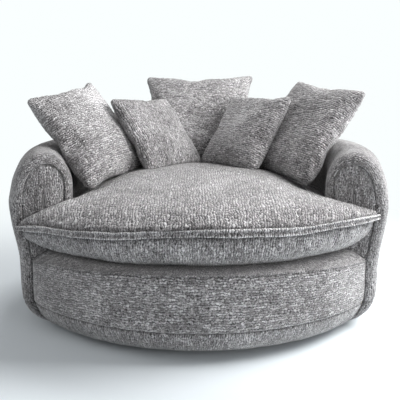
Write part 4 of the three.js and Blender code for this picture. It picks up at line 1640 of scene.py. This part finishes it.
    @staticmethod
    def _rows_of(piece: bpy.types.Object, count: int) -> list[int]:
        """Returns the row of each point of a fresh grid, whose points run column by column."""
        columns = len(piece.data.vertices) // count
        return [index // columns for index in range(len(piece.data.vertices))]

    @staticmethod
    def _soften(piece: bpy.types.Object) -> None:
        """Adds the slow swells of the filling."""
        shift_out(piece, lambda spot: (
            ripple(spot, 0.17, 0.004, 2.0) + ripple(spot, 0.06, 0.0012, 5.0)))

    def _keep_clear(self, piece: bpy.types.Object) -> None:
        """Keeps the cushion off the inner wall, the arm faces and the deck."""
        for vertex in piece.data.vertices:
            vertex.co = PLAN.push_inside(vertex.co.copy(), 0.0015, 0.0095)
            vertex.co.z = max(vertex.co.z, self.bottom)


@dataclass
class LooseCushion:
    """Square knife-edge cushion that leans on the back or on its neighbours.

    Attributes:
        name: The piece's name.
        node: The plain solid that it stands for.
        body: The body that it rides on.
        width: Size across, corner to corner.
        height: Size up, corner to corner.
        crown: Half its thickness.
        at: Place of its middle.
        yaw: Turn about the upright axis, in degrees.
        lean: Lean backwards, in degrees.
        roll: Roll in its own plane, in degrees.
        nap: Way that the pile runs.
        behind: Names of the cushions that it lies in front of.
        seed: Number that makes its small folds its own.
        corners: Shift across and up of the upper left and the upper right corner.
        waist: How far its sides draw in between the corners, as a share of its half size.
        painted_highlight: Place of a patch of painted highlight, its reach and its strength.
        steps: Faces along each side.
        corner_round: Radius of its corners.
        lift: How far it lifts off.
        edge_width: Width of the edge between front and back before it is filled.
        filled_edge: The same once it is filled.
    """

    name: str
    node: str
    body: str
    width: float
    height: float
    crown: float
    at: tuple[float, float, float]
    yaw: float
    lean: float
    roll: float
    nap: Nap
    behind: tuple[str, ...]
    seed: float
    corners: tuple[tuple[float, float], tuple[float, float]] = ((0.0, 0.0), (0.0, 0.0))
    waist: float = 0.045
    painted_highlight: tuple[float, float, float, float] = (0.0, 0.0, 1.0, 0.0)
    steps: int = 34
    corner_round: float = 0.030
    lift: float = 0.40
    edge_width: float = 0.010
    filled_edge: float = 0.020

    def matrix(self) -> Matrix:
        """Returns the turn and move from the cushion's own frame to the chair's."""
        turn = (Matrix.Rotation(math.radians(self.yaw), 4, "Z")
                @ Matrix.Rotation(math.radians(-self.lean), 4, "X")
                @ Matrix.Rotation(math.radians(-self.roll), 4, "Y"))
        return Matrix.Translation(self.at) @ turn

    def sew(self) -> bpy.types.Object:
        """Returns the flat cover, its front and back sewn together, in its own frame."""

        def place(i: int, j: int) -> Vector:
            """Returns a point's place on the front."""
            u, v = 2 * i / self.steps - 1, 2 * j / self.steps - 1
            wave = ripple(Vector((u, v, 0)), 0.35, 0.004, self.seed)
            x, z = self.width / 2 * u, self.height / 2 * v
            past = [abs(x) - self.width / 2 + self.corner_round,
                    abs(z) - self.height / 2 + self.corner_round]
            if min(past) > 0:
                shrink = 1 - max(past) / math.hypot(*past)
                x -= math.copysign(past[0] * shrink, x)
                z -= math.copysign(past[1] * shrink, z)
            return Vector((x, -self.edge_width / 2 + wave, z))

        def weave(i: int, j: int, row: int) -> tuple[float, float]:
            """Returns a point's place on the cloth."""
            across, up = self.width * i / self.steps, self.height * j / self.steps
            shift = 3.0 * self.seed
            return (up + shift, across) if self.nap is Nap.UPRIGHT else (across + shift, up)

        def fold(i: int, j: int) -> float:
            """Returns the painted highlight at a point, as a negative number."""
            u, v = 2 * i / self.steps - 1, 2 * j / self.steps - 1
            # Painted highlight: a pale patch on the cover, given as a negative value.
            across, up, reach, strength = self.painted_highlight
            return -strength * math.exp(-((u - across) ** 2 + (v - up) ** 2) / reach ** 2)

        piece = grid_piece(self.name, self.steps, self.steps, place, weave, fold)
        edit_all(piece, lambda: bpy.ops.mesh.extrude_region_move(
            TRANSFORM_OT_translate={"value": (0, self.edge_width, 0)}))
        edit_all(piece, lambda: bpy.ops.mesh.normals_make_consistent(inside=False))
        self.weave_edge(piece)
        return piece

    def weave_edge(self, piece: bpy.types.Object) -> None:
        """Carries the weave on across the narrow edge, which the extruding gives no width.

        Args:
            piece: The flat cover, in its own frame.
        """
        mesh = piece.data
        layer = mesh.uv_layers[WEAVE_MAP].data
        for face in mesh.polygons:
            if abs(face.normal.y) > 0.5:
                continue
            out = Vector((face.normal.x, face.normal.z)) * self.filled_edge
            if self.nap is Nap.UPRIGHT:
                out = out.yx
            for loop, index in zip(face.loop_indices, face.vertices):
                if mesh.vertices[index].co.y > 0:
                    layer[loop].uv += out

    def puff(self, piece: bpy.types.Object) -> None:
        """Swells the flat cover to its crown and draws its sides in.

        Args:
            piece: The flat cover, in its own frame.
        """
        half = max(abs(v.co.x) for v in piece.data.vertices)
        high = max(abs(v.co.z) for v in piece.data.vertices)
        for vertex in piece.data.vertices:
            u, v = vertex.co.x / half, vertex.co.z / high
            swell = math.sqrt(max(0.0, (1 - abs(u) ** 3) * (1 - abs(v) ** 3)))
            vertex.co.y += math.copysign(self.crown * swell, vertex.co.y)
            vertex.co.x *= 1 - self.waist * (1 - v * v)
            vertex.co.z *= 1 - self.waist * (1 - u * u)

    def plump(self, piece: bpy.types.Object) -> None:
        """Brings the filled cover to its size and gives it its slump and folds.

        Args:
            piece: The filled cover, in its own frame.
        """
        mesh = piece.data
        low = Vector([min(v.co[k] for v in mesh.vertices) for k in range(3)])
        high = Vector([max(v.co[k] for v in mesh.vertices) for k in range(3)])
        size = (self.width, 2 * self.crown, self.height)
        middle = (low + high) / 2
        for vertex in mesh.vertices:
            local = Vector([(vertex.co[k] - middle[k]) * size[k] / (high[k] - low[k])
                            for k in range(3)])
            up = 2 * local.z / self.height
            across = 2 * local.x / self.width
            local.y *= 1.0 - 0.10 * up
            fade = (1 - across * across) * (1 - up * up)
            local.y += ripple(Vector((across, local.y * 4, up)), 0.55, 0.006, self.seed) * fade
            for sign, (aside, rise) in zip((-1, 1), self.corners):
                share = max(0.0, (1 + sign * across) / 2 * (1 + up) / 2) ** 2.5
                local += share * Vector((aside, 0, rise))
            vertex.co = local

    def settle(
        self, piece: bpy.types.Object, made: dict[str, "Resting"], seat: BVHTree,
    ) -> None:
        """Puts the cushion in its place and presses it against what it touches.

        Args:
            piece: The cushion, in its own frame.
            made: The cushions that are already in place.
            seat: Search tree of the seat cushion.
        """
        matrix = self.matrix()
        behind = [made[name] for name in self.behind]
        for vertex in piece.data.vertices:
            spot = PLAN.push_off(matrix @ vertex.co, 0.002)
            for other in behind:
                spot = other.push_out(spot, self.lift)
            hit = seat.ray_cast(Vector((spot.x, spot.y, 1.2)), Vector((0, 0, -1)))[0]
            if hit is not None:
                spot.z = max(spot.z, hit.z + 0.0015)
            vertex.co = spot
        piece.data.update()

    def rest(self, piece: bpy.types.Object) -> "Resting":
        """Returns the settled cushion as something that others lean on."""
        turn = self.matrix().to_3x3()
        return Resting(tree_of(piece), turn @ Vector((0, -1, 0)), turn @ Vector((0, 0, 1)))


@dataclass
class Resting:
    """A cushion in its place, on which others lean.

    Attributes:
        tree: Search tree of its cover.
        front: The way that its front looks.
        axis: The way that it lifts off.
    """

    tree: BVHTree
    front: Vector
    axis: Vector

    def push_out(self, spot: Vector, lift: float) -> Vector:
        """Returns a place moved forward out of the cushion, and out of its way when it is lifted.

        Args:
            spot: The place to move.
            lift: How far it lifts off.

        Returns:
            The place itself where it is already clear.
        """
        for raised in spread(0.0, lift, 8):
            start = spot - self.axis * raised
            hit, normal, _, distance = self.tree.ray_cast(start, self.front, 0.3)
            if hit is not None and normal.dot(self.front) > 0:
                spot = spot + self.front * (distance + 0.001)
        return spot


LOOSE_CUSHIONS = (
    LooseCushion(
        "back_pillow_centre", "back_cushion_centre", "centre_cushion",
        width=0.492, height=0.484, crown=0.064, at=(0.005, 0.448, 0.652),
        yaw=-1, lean=39, roll=1, nap=Nap.SIDEWAYS, behind=(), seed=1.0),
    LooseCushion(
        "back_pillow_left", "back_cushion_left", "left_cushion",
        width=0.440, height=0.420, crown=0.062, at=(-0.420, 0.017, 0.623),
        yaw=64, lean=38, roll=5, nap=Nap.SIDEWAYS, behind=("back_pillow_centre",), seed=2.0,
        corners=((0.004, -0.026), (0.020, 0.012)), waist=0.022, painted_highlight=(0.5, 0.55, 0.45, 1.0)),
    LooseCushion(
        "back_pillow_right", "back_cushion_right", "right_cushion",
        width=0.442, height=0.431, crown=0.062, at=(0.408, 0.088, 0.629),
        yaw=-62, lean=36, roll=-2, nap=Nap.SIDEWAYS, behind=("back_pillow_centre",), seed=3.0,
        corners=((0.0, 0.010), (0.004, -0.022)), waist=0.030),
    LooseCushion(
        "small_pillow_right", "small_cushion_right", "small_right",
        width=0.357, height=0.352, crown=0.052, at=(0.184, 0.195, 0.609),
        yaw=-55, lean=33, roll=0, nap=Nap.SIDEWAYS,
        behind=("back_pillow_centre", "back_pillow_right"), seed=4.0,
        painted_highlight=(-0.35, 0.1, 0.8, 0.6)),
    LooseCushion(
        "small_pillow_left", "small_cushion_left", "small_left",
        width=0.354, height=0.348, crown=0.052, at=(-0.169, 0.198, 0.604),
        yaw=55, lean=36, roll=-1, nap=Nap.UPRIGHT,
        behind=("back_pillow_centre", "back_pillow_left", "small_pillow_right"), seed=5.0,
        waist=0.030),
)


@dataclass
class CushionPile:
    """The five loose cushions, filled together and then leaned in order, back to front.

    Attributes:
        cushions: The cushions in that order.
        filling: Their stuffing.
    """

    cushions: tuple[LooseCushion, ...] = LOOSE_CUSHIONS
    filling: Filling = field(default_factory=lambda: Filling(
        pressure=1.2, stiffness=10.0, bending=0.25, slack=0.03, cap=0.022))

    def build(self, cloth: bpy.types.Material, seat: bpy.types.Object) -> None:
        """Makes the cushions and dresses them.

        Args:
            cloth: The cushion fabric.
            seat: The seat cushion that they rest on.
        """
        sewn = {cushion.name: cushion.sew() for cushion in self.cushions}
        for cushion in self.cushions:
            cushion.puff(sewn[cushion.name])
        self.filling.fill(list(sewn.values()))
        seat_tree = tree_of(seat)
        made: dict[str, Resting] = {}
        for cushion in self.cushions:
            piece = sewn[cushion.name]
            subdivide(piece)
            cushion.plump(piece)
            cushion.settle(piece, made, seat_tree)
            made[cushion.name] = cushion.rest(piece)
            tuft(piece)
            dress(piece, cloth, cushion.body, nodes=[cushion.node])


# ---------------------------------------------------------------- frame and studio


@dataclass
class HiddenFrame:
    """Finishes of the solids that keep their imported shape: timber, foam, straps and turntable.

    Attributes:
        frame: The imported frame.
    """

    frame: dict[str, Any]

    def dress(self) -> None:
        """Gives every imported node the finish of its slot."""
        finishes = {
            "plywood": Plywood().build(), "hardboard": Hardboard().build(), "foam": Foam().build(),
            "webbing": Webbing().build(), "lining": Lining().build(),
            "steel": PlatedSteel().build(), "glide": MouldedPlastic().build(),
        }
        finished = 0
        for part in self.frame["record"]["subparts"]:
            material = finishes.get(part["material_slot"])
            if material is None:
                continue
            node = self.frame["nodes"][part["node"]]
            if not node.material_slots:
                node.data.materials.append(material)
            for slot in node.material_slots:
                slot.material = material
            finished += 1
        log.info("finished %d packed nodes", finished)


@dataclass
class Studio:
    """Pale floor, soft lamps and the camera at the photograph's angle.

    Attributes:
        distance: Distance of the camera from the chair's middle.
        height: Height of the camera.
        pitch: How far it looks down, in degrees.
        focal: Focal length in pixels.
        frame_pixels: Width of the frame that it is measured on.
    """

    distance: float = 2.400
    height: float = 0.815
    pitch: float = 10.6
    focal: float = 628.0
    frame_pixels: float = 400.0

    def build(self) -> None:
        """Sets up the floor, the lamps, the world and the camera."""
        self._floor()
        self._lamp("key_lamp", (1.95, -0.25, 1.80), (0.0, 0.0, 0.3), 1.3, 92.0)
        self._lamp("front_lamp", (2.40, -3.30, 1.00), (0.0, 0.0, 0.3), 1.8, 42.0)
        self._lamp("side_lamp", (2.60, 0.90, 0.90), (0.6, -0.1, 0.45), 1.0, 38.0)
        self._lamp("back_lamp", (0.0, 2.10, 3.94), (0.0, 0.0, 0.3), 1.8, 85.0)
        self._lamp("left_lamp", (-3.95, 0.0, 1.74), (0.0, 0.0, 0.3), 1.8, 42.0)
        self._world()
        self._camera()

    def _floor(self) -> None:
        """Makes the plain pale floor, which turns white far behind the chair."""
        bpy.ops.object.select_all(action="DESELECT")
        bpy.ops.mesh.primitive_plane_add(size=60.0, location=(0, 0, 0))
        floor = bpy.context.object
        floor.name = "floor"
        s = Shader("pale_floor")
        x, y, _ = s.parts(s.object_place())
        far = (y + 0.25 * x).rise(-0.2, 1.9)
        matt = s.node("ShaderNodeBsdfPrincipled", {}, {
            "Base Color": (0.74, 0.79, 0.82, 1.0), "Roughness": 0.8, "Specular IOR Level": 0.2})
        glow = s.node("ShaderNodeEmission", {}, {"Color": BACKDROP, "Strength": 1.0})
        path = s.node("ShaderNodeLightPath", output="Is Camera Ray")
        s.node_out(s.node("ShaderNodeMixShader", {}, {0: far * path, 1: matt, 2: glow}))
        floor.data.materials.append(s.material)

    @staticmethod
    def _lamp(
        name: str, place: Sequence[float], target: Sequence[float], size: float, power: float,
    ) -> None:
        """Adds a soft square lamp.

        Args:
            name: The lamp's name.
            place: Where it stands.
            target: What it shines on.
            size: Side of its square.
            power: Its power in watts.
        """
        data = bpy.data.lights.new(name, "AREA")
        data.shape, data.size, data.energy = "SQUARE", size, power
        lamp = bpy.data.objects.new(name, data)
        bpy.context.scene.collection.objects.link(lamp)
        lamp.visible_camera = False
        lamp.location = place
        lamp.rotation_euler = (Vector(target) - Vector(place)).to_track_quat("-Z", "Y").to_euler()

    @staticmethod
    def _world() -> None:
        """Makes a world that lights evenly and shows a pale backdrop behind the chair."""
        world = bpy.data.worlds.new("studio")
        bpy.context.scene.world = world
        world.use_nodes = True
        tree = world.node_tree
        tree.nodes.clear()
        rays = tree.nodes.new("ShaderNodeLightPath")
        soft, seen = tree.nodes.new("ShaderNodeBackground"), tree.nodes.new("ShaderNodeBackground")
        soft.inputs["Color"].default_value = (0.97, 0.98, 1.0, 1.0)
        soft.inputs["Strength"].default_value = 0.32
        seen.inputs["Color"].default_value = BACKDROP
        mix, out = tree.nodes.new("ShaderNodeMixShader"), tree.nodes.new("ShaderNodeOutputWorld")
        tree.links.new(rays.outputs["Is Camera Ray"], mix.inputs[0])
        tree.links.new(soft.outputs[0], mix.inputs[1])
        tree.links.new(seen.outputs[0], mix.inputs[2])
        tree.links.new(mix.outputs[0], out.inputs["Surface"])

    def _camera(self) -> None:
        """Puts the camera where the photograph was taken from."""
        data = bpy.data.cameras.new("camera")
        data.sensor_width = 36.0
        data.lens = self.focal * data.sensor_width / self.frame_pixels
        camera = bpy.data.objects.new("camera", data)
        bpy.context.scene.collection.objects.link(camera)
        camera.location = (0.0, -self.distance, self.height)
        camera.rotation_euler = (math.radians(90.0 - self.pitch), 0.0, 0.0)
        data.shift_x = 1.0 / self.frame_pixels
        bpy.context.scene.camera = camera
        bpy.context.scene.view_settings.view_transform = "Standard"


def main() -> None:
    """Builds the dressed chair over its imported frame."""
    logging.basicConfig(level=logging.INFO, format="%(message)s")
    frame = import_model()
    Studio().build()
    HiddenFrame(frame).dress()
    base_cloth = Chenille("grey_chenille").build()
    cushion_cloth = Chenille("light_grey_chenille", middle=(0.325, 0.312, 0.315)).build()
    arm_cloth = Chenille(
        "fine_grey_chenille", light=(0.740, 0.726, 0.732), tuft_length=0.0095,
        row_width=0.0064).build()
    WrapCover().build(arm_cloth)
    BodyFoam(frame["nodes"]["wrap_padding"]).build(Foam().build())
    for side in (1, -1):
        ArmFacing(side).build(arm_cloth)
    drum = DrumFront()
    drum.build_panel(base_cloth)
    drum.build_deck(base_cloth)
    seat = SeatCushion().build(cushion_cloth)
    CushionPile().build(cushion_cloth, seat)


if __name__ == "__main__":
    main()
